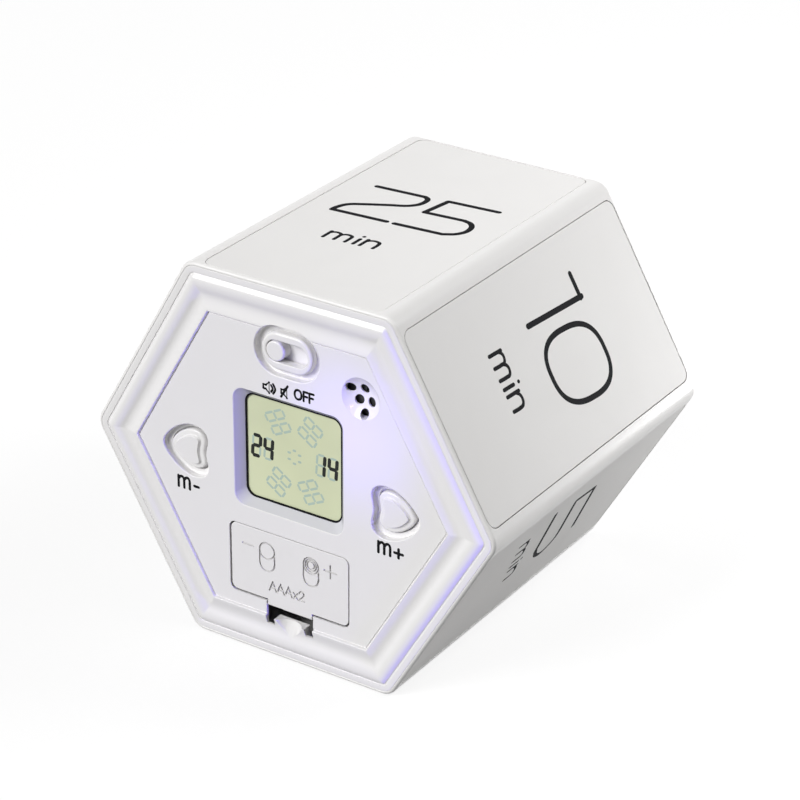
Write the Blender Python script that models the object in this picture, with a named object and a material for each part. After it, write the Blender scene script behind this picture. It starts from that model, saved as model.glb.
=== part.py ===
# Hexagonal flip timer: a display in the front end and a timing value on each of its six sides.
# Two AAA cells stand end-on in a cup behind the small door under the display.
# Metres, +Z up. The display looks towards -Y and the timer lies on one flat side at z = 0.
# Pieces are drawn round the hexagon's centre line, with depth counted back from the foremost edge.

import math

import bmesh
import bpy
from mathutils import Matrix, Vector
from mathutils.geometry import interpolate_bezier

# Body
HEX_SIDE = 0.040
DEPTH = 0.0672
EDGE_RADIUS = 0.003
WALL = 0.00274
EDGE_STEPS = 5
HOLE_SIDES = 12
KNOB_SIDES = 24
CELL_SIDES = 32
BALL_STEPS = 48
SHARP_DEGREES = 35

# Clearances
GAP = 0.0003
OVERRUN = 0.002

# Side plates
PLATE_LAND = 0.0028
PLATE_THICK = 0.0005
PLATE_CORNER = 0.0018
PLATE_GAP = 0.0002
PLATE_SEAT_GAP = 0.00025
PLATE_FRONT = 0.00114
PLATE_REAR_LAND = 0.00055

# Front rim of the shell, and the seam round the front cover
RIM_SET = 0.0005
RIM_ROUND = 0.00055
RIM_ROUND_SHARES = ((0.86, 0.0), (0.45, 0.1), (0.1, 0.5), (0.0, 1.0))
RIM_WIDTH = 0.00061
SEAM_GAP = 0.00025
SEAT_SLOPE_LENGTH = 0.00175

# Front cover
COVER_EDGE_SET = 0.00045
LIP_WIDTH = 0.00103
MOULDING_WIDTH = 0.0063
MOULDING_DEPTH = 0.00115
PANEL_THICK = 0.0016
PANEL_CORNER = 0.0003
SKIRT_THICK = 0.001
SKIRT_LENGTH = 0.0026
LIP_SHARES = ((0.0, 0.13), (0.35, 0.095), (0.63, 0.087), (0.86, 0.17), (1.0, 0.39))
MOULDING_SHARES = (
    (0.0, 0.13),
    (0.024, 1.0),
    (0.135, 0.957),
    (0.246, 0.609),
    (0.357, 0.348),
    (0.437, 0.304),
    (0.563, 0.217),
    (0.706, 0.087),
    (0.833, 0.0),
    (0.913, 0.043),
    (0.976, 0.217),
    (1.0, 0.287),
)

# Display
LCD_Z = 0.0037
LCD_MOUTH = 0.0217
LCD_MOUTH_RADIUS = 0.0021
LCD_THROAT = 0.0193
LCD_THROAT_RADIUS = 0.0015
LCD_WIDTH = 0.0214
LCD_HEIGHT = 0.0226
LCD_THICK = 0.002
HOLDER_WALL = 0.001
ZEBRA_HEIGHT = 0.0021

# Circuit board
BOARD_SET = 0.00665
BOARD_THICK = 0.0016
BOARD_CORNER_SET = 0.0103
BOARD_BOTTOM = -0.0095
BOARD_SHOULDER = 0.012
BOARD_TOP_GAP = 0.00044
BOARD_TOP_WIDTH = 0.034
BOARD_SCREW_INSET = 0.003
BOARD_SCREW_UPPER = 0.0105
BOARD_SCREW_LOWER = -0.007

# Parts on the rear of the board
CHIP_X = 0.0
CHIP_Z = 0.008
CHIP_SIDE = 0.007
CHIP_THICK = 0.0012
SENSOR_X = -0.010
SENSOR_Z = 0.012
SENSOR_SIDE = 0.005
SENSOR_THICK = 0.0034
CRYSTAL_X = 0.0095
CRYSTAL_Z = 0.003
CRYSTAL_RADIUS = 0.001
CRYSTAL_LENGTH = 0.006
CAPACITOR_X = 0.010
CAPACITOR_Z = 0.014
CAPACITOR_RADIUS = 0.002
CAPACITOR_LENGTH = 0.005

# Sound switch
SWITCH_Z = 0.02315
MOAT_LENGTH = 0.01284
MOAT_HEIGHT = 0.00884
MOAT_DEPTH = 0.00133
COLLAR_LENGTH = 0.0101
COLLAR_HEIGHT = 0.0067
COLLAR_SET = 0.0003
COLLAR_ROUND = 0.0003
KNOB_RADIUS = 0.00175
KNOB_SET = 0.00013
KNOB_SIDE_GAP = 0.00015
KNOB_STEP = 0.0022
KNOB_PLATE_THICK = 0.0005
KNOB_PLATE_HEIGHT = 0.0052
LEVER_WIDTH = 0.0016
LEVER_HEIGHT = 0.0014
LEVER_LENGTH = 0.0024
SWITCH_BODY_SET = 0.0033
SWITCH_BODY_LENGTH = 0.0110
SWITCH_BODY_HEIGHT = 0.0042

# Press buttons
BUTTON_X = 0.0256
BUTTON_MOAT_LENGTH = 0.0092
BUTTON_MOAT_HEIGHT = 0.0092
BUTTON_MOAT_DEPTH = 0.00133
BUTTON_LENGTH = 0.0070
BUTTON_HEIGHT = 0.0072
BUTTON_TIP_SET = 0.0013
BUTTON_SET = 0.00055
BUTTON_RIM = 0.00085
BUTTON_ROUND = 0.00025
BUTTON_DISH = 0.0003
BUTTON_FLANGE = 0.0008
BUTTON_FLANGE_THICK = 0.0007
BUTTON_STEM_RADIUS = 0.0015
BUTTON_STEM_LENGTH = 0.0007
BUTTON_TRAVEL = 0.00035
TACT_SIDE = 0.0045
TACT_SET = 0.00445
TACT_PLUNGER_RADIUS = 0.001
TACT_PLUNGER_LENGTH = 0.0013
PICK_KNOT_SHARES = (
    ((0.0, 0.0), (0.0, 0.34), (0.36, 1.0), (0.68, 1.0)),
    ((0.68, 1.0), (0.88, 1.0), (1.0, 0.78), (1.0, 0.52)),
    ((1.0, 0.52), (1.0, 0.34), (0.96, 0.2), (0.96, 0.0)),
)
PICK_STEPS = 6

# Sound dish and sounder
DISH_X = 0.0143
DISH_Z = 0.0192
DISH_RADIUS = 0.00365
DISH_DEPTH = 0.00085
SOUND_HOLE_RADIUS = 0.0006
SOUND_PITCH = 0.00245
SOUND_START_X = -0.00235
SOUND_START_Z = 0.00125
SOUND_TURN = 0.07
SOUND_STEPS = ((0, 0), (1, 0), (0, 1), (1, 1), (0, 2))
BUZZER_SHIFT = 0.0009
BUZZER_RADIUS = 0.0045
BUZZER_HOLE_RADIUS = 0.001
BUZZER_HOLE_DEPTH = 0.0015

# Battery door
DOOR_WIDTH = 0.0237
DOOR_TOP = -0.0110
DOOR_BOTTOM = -0.02375
DOOR_CORNER = 0.0011
DOOR_GAP = 0.00025
TAB_WIDTH = 0.0090
TAB_LENGTH = 0.00105
SLOT_BOTTOM = -0.0271
NOTCH_BOTTOM = -0.0285
NOTCH_WIDTH = 0.0017
HOOK_WIDTH = 0.0060
HOOK_THICK = 0.0009
HOOK_DEPTH = 0.0035
HOOK_BOTTOM = -0.0265
LUG_X = 0.0078
LUG_WIDTH = 0.003
LUG_RISE = 0.00135
LUG_ROOT = 0.0015
LUG_THICK = 0.001
SCOOP_RADIUS = 0.0032
SCOOP_TILT = 0.38
SCOOP_FOOT = -0.0309

# Cells and their cup
CELL_RADIUS = 0.00525
CELL_LENGTH = 0.0445
CELL_NUB_RADIUS = 0.0019
CELL_NUB_LENGTH = 0.001
CELL_PITCH = 0.0109
CELL_Z = -0.0173
CUP_WALL = 0.0012
CUP_SET = 0.00435
CUP_EAR_WIDTH = 0.0052
CUP_EAR_HEIGHT = 0.006
CUP_EAR_THICK = 0.0015
CUP_SCREW_X = 0.0146
CONTACT_THICK = 0.0004
CONTACT_SIDE = 0.008
TERMINAL_WIDTH = 0.002
TERMINAL_RISE = 0.0022
BRIDGE_WIDTH = 0.019
SPRING_BASE_RADIUS = 0.0034
SPRING_TIP_RADIUS = 0.0016
SPRING_WIRE_RADIUS = 0.00025
SPRING_TURNS = 3
SPRING_POINTS_PER_TURN = 10
SPRING_HEIGHT = 0.0032
LEAD_RADIUS = 0.0005
LEAD_RISE = 0.0014
LEAD_BOARD_X = 0.006
LEAD_BOARD_Z = -0.0075
LEAD_BEND = 0.004
LEAD_STEPS = 6

# Screws: cover to shell, rear cover to shell, board to cover, cup to cover
CORNER_SCREW_INSET = 0.0054
CORNER_SCREW_DROP = 0.0066
SHANK_RADIUS = 0.001
SHANK_GAP = 0.0003
HEAD_RADIUS = 0.0019
HEAD_HEIGHT = 0.0012
RECESS_LENGTH = 0.0022
RECESS_WIDTH = 0.0005
RECESS_DEPTH = 0.0006
BOSS_RADIUS = 0.0022
COVER_BOSS_END = 0.0077
EAR_SET = 0.0080
EAR_THICK = 0.002
EAR_WIDTH = 0.0052
EAR_DROP = 0.0021
COVER_SCREW_LENGTH = 0.0070
BOARD_SCREW_LENGTH = 0.0050
CUP_SCREW_LENGTH = 0.0035

# Rear cover
REAR_REBATE = 0.0023
REAR_THICK = 0.002
REAR_LAND_WIDTH = 0.0011
REAR_CHAMFER = 0.0003
REAR_POST_LENGTH = 0.010
REAR_SCREW_LENGTH = 0.007
REAR_COUNTERBORE = 0.0013

# Sides in order round the hexagon from the top, seen from the front and turning right
SIDE_VALUES = ("25", "10", "5", "15", "30", "50")

# Looks: colour, roughness, metallic
WHITE = ((0.80, 0.79, 0.78), 0.38, 0.0)
PLATE_WHITE = ((0.82, 0.81, 0.80), 0.42, 0.0)
KNOB_WHITE = ((0.82, 0.81, 0.80), 0.30, 0.0)
LCD_GREEN = ((0.56, 0.60, 0.42), 0.15, 0.0)
GREY_PLASTIC = ((0.30, 0.30, 0.30), 0.50, 0.0)
RUBBER = ((0.05, 0.05, 0.05), 0.80, 0.0)
BOARD_GREEN = ((0.02, 0.18, 0.07), 0.35, 0.0)
CHIP_BLACK = ((0.02, 0.02, 0.02), 0.45, 0.0)
STEEL = ((0.60, 0.60, 0.62), 0.30, 1.0)
NICKEL = ((0.66, 0.64, 0.60), 0.25, 1.0)
CELL_GREEN = ((0.05, 0.16, 0.10), 0.35, 0.0)
LEAD_RED = ((0.50, 0.02, 0.02), 0.50, 0.0)
LEAD_BLACK = ((0.02, 0.02, 0.02), 0.50, 0.0)

# Places that follow from the sizes above
APOTHEM = HEX_SIDE * math.cos(math.pi / 6)
PLATE_WIDTH = HEX_SIDE - 2 * PLATE_LAND
CORNER_SCREW_X = HEX_SIDE / 2 - CORNER_SCREW_INSET
CORNER_SCREW_Z = APOTHEM - CORNER_SCREW_DROP
PIVOT_TO_WORLD = Vector((0, -DEPTH / 2, APOTHEM))
SHELL_BORE = APOTHEM - WALL
COVER_EDGE = APOTHEM - RIM_WIDTH - SEAM_GAP
LIP_EDGE = COVER_EDGE - LIP_WIDTH
PANEL_EDGE = LIP_EDGE - MOULDING_WIDTH
PANEL_SET = MOULDING_SHARES[-1][1] * MOULDING_DEPTH
PANEL_BACK = PANEL_SET + PANEL_THICK
SKIRT_OUTER = SHELL_BORE - GAP
SKIRT_INNER = SKIRT_OUTER - SKIRT_THICK
BEHIND_PANEL = PANEL_BACK + SEAM_GAP
BOARD_WIDTH = 2 * (SHELL_BORE / math.cos(math.pi / 6) - BOARD_CORNER_SET)
BOARD_TOP = CORNER_SCREW_Z - EAR_DROP - BOARD_TOP_GAP
BOARD_SCREW_X = BOARD_WIDTH / 2 - BOARD_SCREW_INSET
BOARD_BACK = BOARD_SET + BOARD_THICK
BOARD_PARTS = BOARD_BACK + GAP
CUP_HALF_WIDTH = CELL_PITCH / 2 + CELL_RADIUS + GAP
CUP_HALF_HEIGHT = CELL_RADIUS + GAP
CUP_ROOF = CELL_Z + CUP_HALF_HEIGHT + CUP_WALL
DOOR_CONTACT = BEHIND_PANEL + CONTACT_THICK
CUP_FLOOR = DOOR_CONTACT + SPRING_HEIGHT + CELL_LENGTH + CONTACT_THICK + GAP * 3
REAR_FACE = DEPTH


def clear_scene():
    for item in list(bpy.data.objects):
        bpy.data.objects.remove(item, do_unlink=True)


def make_material(name, look):
    colour, roughness, metallic = look
    material = bpy.data.materials.new(name)
    material.use_nodes = True
    shader = material.node_tree.nodes["Principled BSDF"]
    shader.inputs["Base Color"].default_value = (*colour, 1)
    shader.inputs["Roughness"].default_value = roughness
    shader.inputs["Metallic"].default_value = metallic
    material.diffuse_color = (*colour, 1)
    return material


def place(name, bm, look=None, pivot=(0, 0, 0), smooth=False):
    """Turn a mesh under construction into an object whose origin is at pivot."""
    bmesh.ops.recalc_face_normals(bm, faces=bm.faces)
    bmesh.ops.translate(bm, verts=bm.verts, vec=-Vector(pivot))
    mesh = bpy.data.meshes.new(name)
    bm.to_mesh(mesh)
    bm.free()
    piece = bpy.data.objects.new(name, mesh)
    piece.location = PIVOT_TO_WORLD + Vector(pivot)
    bpy.context.collection.objects.link(piece)
    if look:
        mesh.materials.append(make_material(name, look))
    if smooth:
        mesh.shade_smooth()
        mesh.set_sharp_from_angle(angle=math.radians(SHARP_DEGREES))
    return piece


def boolean(piece, name, bm, operation="DIFFERENCE", pivot=(0, 0, 0)):
    """Cut a tool from a piece, or join it on. The tool itself isn't part of the timer."""
    tool = place(name, bm, pivot=pivot)
    tool.hide_render = True
    tool.display_type = "WIRE"
    step = piece.modifiers.new(name, "BOOLEAN")
    step.operation = operation
    step.solver = "EXACT"
    step.object = tool
    return tool


def loft(bm, rings, closed=False):
    """Skin rings of equal length. An open run gets a flat cap at each end."""
    pairs = list(zip(rings, rings[1:]))
    if closed:
        pairs.append((rings[-1], rings[0]))
    for ring, following in pairs:
        count = len(ring)
        for index in range(count):
            after = (index + 1) % count
            bm.faces.new((ring[index], ring[after], following[after], following[index]))
    if not closed:
        bm.faces.new(rings[0])
        bm.faces.new(list(reversed(rings[-1])))


def outline_ring(bm, outline, depth):
    return [bm.verts.new((x, depth, z)) for x, z in outline]


def prism(bm, outline, near, far):
    loft(bm, [outline_ring(bm, outline, near), outline_ring(bm, outline, far)])


def rounded_box_outline(x, z, width, height, radius, steps=4):
    """A rectangle with round corners, as points that run anticlockwise seen from the front."""
    points = []
    corners = ((1, 1), (-1, 1), (-1, -1), (1, -1))
    for index, (side, level) in enumerate(corners):
        middle_x = x + side * (width / 2 - radius)
        middle_z = z + level * (height / 2 - radius)
        for step in range(steps + 1):
            angle = math.pi / 2 * (index + step / steps)
            points.append((middle_x + radius * math.cos(angle), middle_z + radius * math.sin(angle)))
    return points


def stadium_outline(x, z, length, height, steps=8):
    """A bar with half-round ends."""
    points = []
    for side, start in ((1, -math.pi / 2), (-1, math.pi / 2)):
        for step in range(steps + 1):
            angle = start + math.pi * step / steps
            centre = x + side * (length - height) / 2
            points.append((centre + height / 2 * math.cos(angle), z + height / 2 * math.sin(angle)))
    return points


def circle_outline(x, z, radius, steps=16):
    turns = [2 * math.pi * step / steps for step in range(steps)]
    return [(x + radius * math.cos(turn), z + radius * math.sin(turn)) for turn in turns]


def rectangle_outline(x, z, width, height):
    return [
        (x - width / 2, z - height / 2),
        (x + width / 2, z - height / 2),
        (x + width / 2, z + height / 2),
        (x - width / 2, z + height / 2),
    ]


def span_outline(left, right, bottom, top):
    return rectangle_outline((left + right) / 2, (bottom + top) / 2, right - left, top - bottom)


def pick_outline(tip_x, length, height, side):
    """A rounded pick whose tip points to the given side, -1 for left."""
    upper = []
    for knots in PICK_KNOT_SHARES:
        flat = [Vector((x, z, 0)) for x, z in knots]
        upper.extend(interpolate_bezier(*flat, PICK_STEPS + 1)[:-1])
    lower = [Vector((point.x, -point.y, 0)) for point in reversed(upper[1:])]
    last = Vector((*PICK_KNOT_SHARES[-1][-1], 0))
    turn = upper + [last] + lower
    points = [(tip_x - side * point.x * length, point.y * height / 2) for point in turn]
    return points if side > 0 else list(reversed(points))


def corner_radius(apothem):
    """Corner rounding fades from the body's long edges to the nearly sharp panel corners."""
    share = (apothem - PANEL_EDGE) / (APOTHEM - PANEL_EDGE)
    return PANEL_CORNER + (EDGE_RADIUS - PANEL_CORNER) * max(share, 0)


def hex_ring(bm, apothem, depth):
    """A hexagon with round corners and flat sides above and below."""
    radius = corner_radius(apothem)
    reach = (apothem - radius) / math.cos(math.pi / 6)
    ring = []
    for corner in range(6):
        heading = math.pi / 3 * corner
        for step in range(EDGE_STEPS + 1):
            angle = heading - math.pi / 6 + math.pi / 3 * step / EDGE_STEPS
            x = reach * math.cos(heading) + radius * math.cos(angle)
            z = reach * math.sin(heading) + radius * math.sin(angle)
            ring.append(bm.verts.new((x, depth, z)))
    return ring


def side_turn(index):
    """Turns a piece drawn on the top side to the side with this index."""
    return Matrix.Rotation(math.pi / 3 * index, 3, "Y")


def box_on_top_side(bm, width, radius, low, high, near, far, index):
    """A flat block with round corners, lying on one of the six sides."""
    outline = rounded_box_outline(0, (near + far) / 2, width, far - near, radius)
    rings = []
    for level in (high, low):
        rings.append([bm.verts.new((x, depth, level)) for x, depth in outline])
    loft(bm, rings)
    fresh = [vert for ring in rings for vert in ring]
    bmesh.ops.rotate(bm, verts=fresh, cent=(0, 0, 0), matrix=side_turn(index))


def corner_places():
    return [(side * CORNER_SCREW_X, level * CORNER_SCREW_Z) for level in (1, -1) for side in (-1, 1)]


def board_places():
    levels = (BOARD_SCREW_UPPER, BOARD_SCREW_LOWER)
    return [(side * BOARD_SCREW_X, level) for level in levels for side in (-1, 1)]


def cup_places():
    return [(side * CUP_SCREW_X, CELL_Z) for side in (-1, 1)]


# Shell and side plates


def hex_shell():
    bm = bmesh.new()
    seat_drop = SEAM_GAP * math.tan(math.pi / 8)
    seam_edge = APOTHEM - RIM_WIDTH
    slope_start = COVER_EDGE_SET + seat_drop
    seat_foot = seam_edge - SEAT_SLOPE_LENGTH
    rim = [(APOTHEM - inward * RIM_ROUND, RIM_SET + deep * RIM_ROUND) for inward, deep in RIM_ROUND_SHARES]
    profile = (
        (seam_edge, slope_start),
        *rim,
        (APOTHEM, REAR_FACE - REAR_CHAMFER),
        (APOTHEM - REAR_CHAMFER, REAR_FACE),
        (SHELL_BORE + REAR_LAND_WIDTH, REAR_FACE),
        (SHELL_BORE + REAR_LAND_WIDTH, REAR_FACE - REAR_REBATE),
        (SHELL_BORE, REAR_FACE - REAR_REBATE),
        (SHELL_BORE, slope_start + SEAT_SLOPE_LENGTH),
        (seat_foot, slope_start + SEAT_SLOPE_LENGTH),
    )
    loft(bm, [hex_ring(bm, apothem, depth) for apothem, depth in profile], closed=True)
    shell = place("hex_shell", bm, WHITE, smooth=True)
    boolean(shell, "plate_recess_tool", plate_recesses())
    boolean(shell, "ear_tool", shell_ears(), "UNION")
    boolean(shell, "ear_hole_tool", shell_ear_holes())
    return shell


def plate_recesses():
    bm = bmesh.new()
    floor = APOTHEM - PLATE_THICK - PLATE_SEAT_GAP
    near = PLATE_FRONT - PLATE_GAP
    far = REAR_FACE - PLATE_REAR_LAND + PLATE_GAP
    width = PLATE_WIDTH + 2 * PLATE_GAP
    for index in range(len(SIDE_VALUES)):
        radius = PLATE_CORNER + PLATE_GAP
        box_on_top_side(bm, width, radius, floor, APOTHEM + OVERRUN, near, far, index)
    return bm


def shell_ears():
    """Blocks on the inner wall that take the front cover's screws and the rear cover's screws."""
    bm = bmesh.new()
    root = SHELL_BORE + WALL / 3
    inner = CORNER_SCREW_Z - EAR_DROP
    rear = REAR_FACE - REAR_REBATE
    spans = ((EAR_SET, EAR_SET + EAR_THICK), (rear - REAR_POST_LENGTH, rear))
    for x, z in corner_places():
        level = math.copysign(1, z)
        low, high = sorted((level * inner, level * root))
        outline = span_outline(x - EAR_WIDTH / 2, x + EAR_WIDTH / 2, low, high)
        for near, far in spans:
            prism(bm, outline, near, far)
    return bm


def shell_ear_holes():
    bm = bmesh.new()
    radius = SHANK_RADIUS + SHANK_GAP
    rear = REAR_FACE - REAR_REBATE
    spans = (
        (EAR_SET - OVERRUN / 2, EAR_SET + EAR_THICK + OVERRUN),
        (rear - REAR_POST_LENGTH - OVERRUN, rear + OVERRUN),
    )
    for x, z in corner_places():
        for near, far in spans:
            prism(bm, circle_outline(x, z, radius, HOLE_SIDES), near, far)
    return bm


def side_plate(index, value):
    bm = bmesh.new()
    far = REAR_FACE - PLATE_REAR_LAND
    floor = APOTHEM - PLATE_THICK
    box_on_top_side(bm, PLATE_WIDTH, PLATE_CORNER, floor, APOTHEM, PLATE_FRONT, far, index)
    return place("side_plate_" + value, bm, PLATE_WHITE)


# Front cover


def front_cover():
    bm = bmesh.new()
    moulding = [
        (LIP_EDGE - across * MOULDING_WIDTH, deep * MOULDING_DEPTH) for across, deep in MOULDING_SHARES
    ]
    lip = [(LIP_EDGE + across * LIP_WIDTH, deep * MOULDING_DEPTH) for across, deep in LIP_SHARES[1:]]
    foot = COVER_EDGE_SET + SEAT_SLOPE_LENGTH - SEAM_GAP
    back = (
        (COVER_EDGE - SEAT_SLOPE_LENGTH + SEAM_GAP, foot),
        (SKIRT_OUTER, foot),
        (SKIRT_OUTER, PANEL_BACK + SKIRT_LENGTH),
        (SKIRT_INNER, PANEL_BACK + SKIRT_LENGTH),
        (SKIRT_INNER, PANEL_BACK),
    )
    profile = list(reversed(moulding)) + lip + list(back)
    loft(bm, [hex_ring(bm, apothem, depth) for apothem, depth in profile])
    cover = place("front_cover", bm, WHITE, smooth=True)
    boolean(cover, "boss_tool", cover_bosses(), "UNION")
    boolean(cover, "boss_hole_tool", cover_boss_holes())
    boolean(cover, "moat_tool", moats())
    boolean(cover, "collar_tool", switch_collar(), "UNION")
    boolean(cover, "opening_tool", cover_openings())
    boolean(cover, "slot_tool", latch_slot())
    boolean(cover, "notch_tool", latch_notches())
    boolean(cover, "dish_tool", sound_dish())
    boolean(cover, "sound_hole_tool", sound_holes())
    boolean(cover, "scoop_tool", finger_scoop())
    return cover


def cover_bosses():
    bm = bmesh.new()
    root = PANEL_BACK - PANEL_THICK / 3
    for x, z in corner_places():
        prism(bm, circle_outline(x, z, BOSS_RADIUS), root, COVER_BOSS_END)
    for x, z in board_places():
        prism(bm, circle_outline(x, z, BOSS_RADIUS), root, BOARD_SET - GAP)
    for x, z in cup_places():
        prism(bm, circle_outline(x, z, BOSS_RADIUS), root, CUP_SET - GAP)
    return bm


def cover_boss_holes():
    bm = bmesh.new()
    radius = SHANK_RADIUS + SHANK_GAP
    for x, z in corner_places():
        prism(bm, circle_outline(x, z, radius, HOLE_SIDES), PANEL_BACK, COVER_BOSS_END + OVERRUN)
    for x, z in board_places():
        prism(bm, circle_outline(x, z, radius, HOLE_SIDES), PANEL_BACK, BOARD_SET + OVERRUN)
    for x, z in cup_places():
        prism(bm, circle_outline(x, z, radius, HOLE_SIDES), PANEL_BACK, CUP_SET + OVERRUN)
    return bm


def moats():
    """The sunk rings round the sound switch's collar and round each press button."""
    bm = bmesh.new()
    prism(bm, stadium_outline(0, SWITCH_Z, MOAT_LENGTH, MOAT_HEIGHT), -OVERRUN, MOAT_DEPTH)
    for side in (-1, 1):
        outline = pick_outline(side * BUTTON_X, BUTTON_MOAT_LENGTH, BUTTON_MOAT_HEIGHT, side)
        prism(bm, outline, -OVERRUN, BUTTON_MOAT_DEPTH)
    return bm


def switch_collar():
    bm = bmesh.new()
    root = MOAT_DEPTH + (PANEL_BACK - MOAT_DEPTH) / 2
    length = COLLAR_LENGTH - 2 * COLLAR_ROUND
    height = COLLAR_HEIGHT - 2 * COLLAR_ROUND
    crown = stadium_outline(0, SWITCH_Z, length, height)
    wall = stadium_outline(0, SWITCH_Z, COLLAR_LENGTH, COLLAR_HEIGHT)
    rings = [
        outline_ring(bm, crown, COLLAR_SET),
        outline_ring(bm, wall, COLLAR_SET + COLLAR_ROUND),
        outline_ring(bm, wall, root),
    ]
    loft(bm, rings)
    return bm


def cover_openings():
    """Openings that go through the panel: display, buttons, knob and battery door."""
    bm = bmesh.new()
    mouth = rounded_box_outline(0, LCD_Z, LCD_MOUTH, LCD_MOUTH, LCD_MOUTH_RADIUS)
    throat = rounded_box_outline(0, LCD_Z, LCD_THROAT, LCD_THROAT, LCD_THROAT_RADIUS)
    rings = [
        outline_ring(bm, mouth, -OVERRUN),
        outline_ring(bm, mouth, PANEL_SET),
        outline_ring(bm, throat, PANEL_BACK),
        outline_ring(bm, throat, PANEL_BACK + OVERRUN),
    ]
    loft(bm, rings)
    slot_height = 2 * (KNOB_RADIUS + KNOB_SIDE_GAP)
    slot_length = slot_height + 2 * KNOB_STEP
    prism(bm, stadium_outline(0, SWITCH_Z, slot_length, slot_height), -OVERRUN, PANEL_BACK + OVERRUN)
    for side in (-1, 1):
        prism(bm, button_outline(side, GAP), -OVERRUN, PANEL_BACK + OVERRUN)
    middle = (DOOR_TOP + DOOR_BOTTOM) / 2
    width = DOOR_WIDTH + 2 * DOOR_GAP
    height = DOOR_TOP - DOOR_BOTTOM + 2 * DOOR_GAP
    outline = rounded_box_outline(0, middle, width, height, DOOR_CORNER + DOOR_GAP)
    prism(bm, outline, -OVERRUN, PANEL_BACK + OVERRUN)
    return bm


def latch_slot():
    bm = bmesh.new()
    half = TAB_WIDTH / 2 + DOOR_GAP
    prism(bm, span_outline(-half, half, SLOT_BOTTOM, DOOR_BOTTOM), -OVERRUN, PANEL_BACK + OVERRUN)
    return bm


def latch_notches():
    bm = bmesh.new()
    outer = TAB_WIDTH / 2 + DOOR_GAP
    top = SLOT_BOTTOM + OVERRUN / 2
    for side in (-1, 1):
        left, right = sorted((side * outer, side * (outer - NOTCH_WIDTH)))
        prism(bm, span_outline(left, right, NOTCH_BOTTOM, top), -OVERRUN, PANEL_BACK + OVERRUN)
    return bm


def sound_dish():
    """A shallow bowl cut by a ball."""
    bm = bmesh.new()
    ball = (DISH_RADIUS ** 2 + DISH_DEPTH ** 2) / (2 * DISH_DEPTH)
    bmesh.ops.create_uvsphere(bm, u_segments=BALL_STEPS, v_segments=BALL_STEPS, radius=ball)
    bmesh.ops.rotate(bm, verts=bm.verts, cent=(0, 0, 0), matrix=Matrix.Rotation(math.pi / 2, 3, "X"))
    bmesh.ops.translate(bm, verts=bm.verts, vec=(DISH_X, PANEL_SET + DISH_DEPTH - ball, DISH_Z))
    return bm


def sound_holes():
    """Five holes on the points of a triangular grid."""
    bm = bmesh.new()
    row = Vector((SOUND_PITCH, 0)) @ Matrix.Rotation(-SOUND_TURN, 2)
    fall = row @ Matrix.Rotation(math.pi / 3, 2)
    start = Vector((DISH_X + SOUND_START_X, DISH_Z + SOUND_START_Z))
    for along, down in SOUND_STEPS:
        middle = start + along * row + down * fall
        outline = circle_outline(middle.x, middle.y, SOUND_HOLE_RADIUS, HOLE_SIDES)
        prism(bm, outline, -OVERRUN, PANEL_BACK + OVERRUN)
    return bm


def finger_scoop():
    """A slanted trough in the frame under the latch, so a fingertip can reach the tab."""
    bm = bmesh.new()
    length = 2 * (SLOT_BOTTOM - SCOOP_FOOT)
    bmesh.ops.create_cone(
        bm,
        segments=CELL_SIDES,
        cap_ends=True,
        radius1=SCOOP_RADIUS,
        radius2=SCOOP_RADIUS,
        depth=2 * length,
    )
    bmesh.ops.translate(bm, verts=bm.verts, vec=(0, -SCOOP_RADIUS, 0))
    bmesh.ops.rotate(bm, verts=bm.verts, cent=(0, 0, 0), matrix=Matrix.Rotation(-SCOOP_TILT, 3, "X"))
    bmesh.ops.translate(bm, verts=bm.verts, vec=(0, 0, SCOOP_FOOT))
    return bm


# Display


def lcd_panel():
    bm = bmesh.new()
    outline = rectangle_outline(0, LCD_Z, LCD_WIDTH, LCD_HEIGHT)
    prism(bm, outline, BEHIND_PANEL, BEHIND_PANEL + LCD_THICK)
    return place("lcd_panel", bm, LCD_GREEN)


def lcd_holder():
    """A frame round the display, with a plate behind it between the two contact strips."""
    bm = bmesh.new()
    inner_width = LCD_WIDTH + 2 * SEAM_GAP
    inner_height = LCD_HEIGHT + 2 * SEAM_GAP
    width = inner_width + 2 * HOLDER_WALL
    height = inner_height + 2 * HOLDER_WALL
    back = BOARD_SET - SEAM_GAP
    prism(bm, rectangle_outline(0, LCD_Z, width, height), BEHIND_PANEL, back)
    holder = place("lcd_holder", bm, GREY_PLASTIC)
    room = bmesh.new()
    shelf = BEHIND_PANEL + LCD_THICK + SEAM_GAP
    prism(room, rectangle_outline(0, LCD_Z, inner_width, inner_height), -OVERRUN, shelf)
    boolean(holder, "holder_room_tool", room)
    slots = bmesh.new()
    slot_height = ZEBRA_HEIGHT + SEAM_GAP
    for level in (1, -1):
        middle = LCD_Z + level * (inner_height - slot_height) / 2
        outline = rectangle_outline(0, middle, inner_width, slot_height)
        prism(slots, outline, shelf - OVERRUN / 2, back + OVERRUN)
    boolean(holder, "zebra_slot_tool", slots)
    return holder


def zebra_strip(name, level):
    bm = bmesh.new()
    middle = LCD_Z + level * (LCD_HEIGHT - ZEBRA_HEIGHT) / 2
    near = BEHIND_PANEL + LCD_THICK + SEAM_GAP
    prism(bm, rectangle_outline(0, middle, LCD_WIDTH, ZEBRA_HEIGHT), near, BOARD_SET - SEAM_GAP)
    return place(name, bm, RUBBER)


# Circuit board


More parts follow.
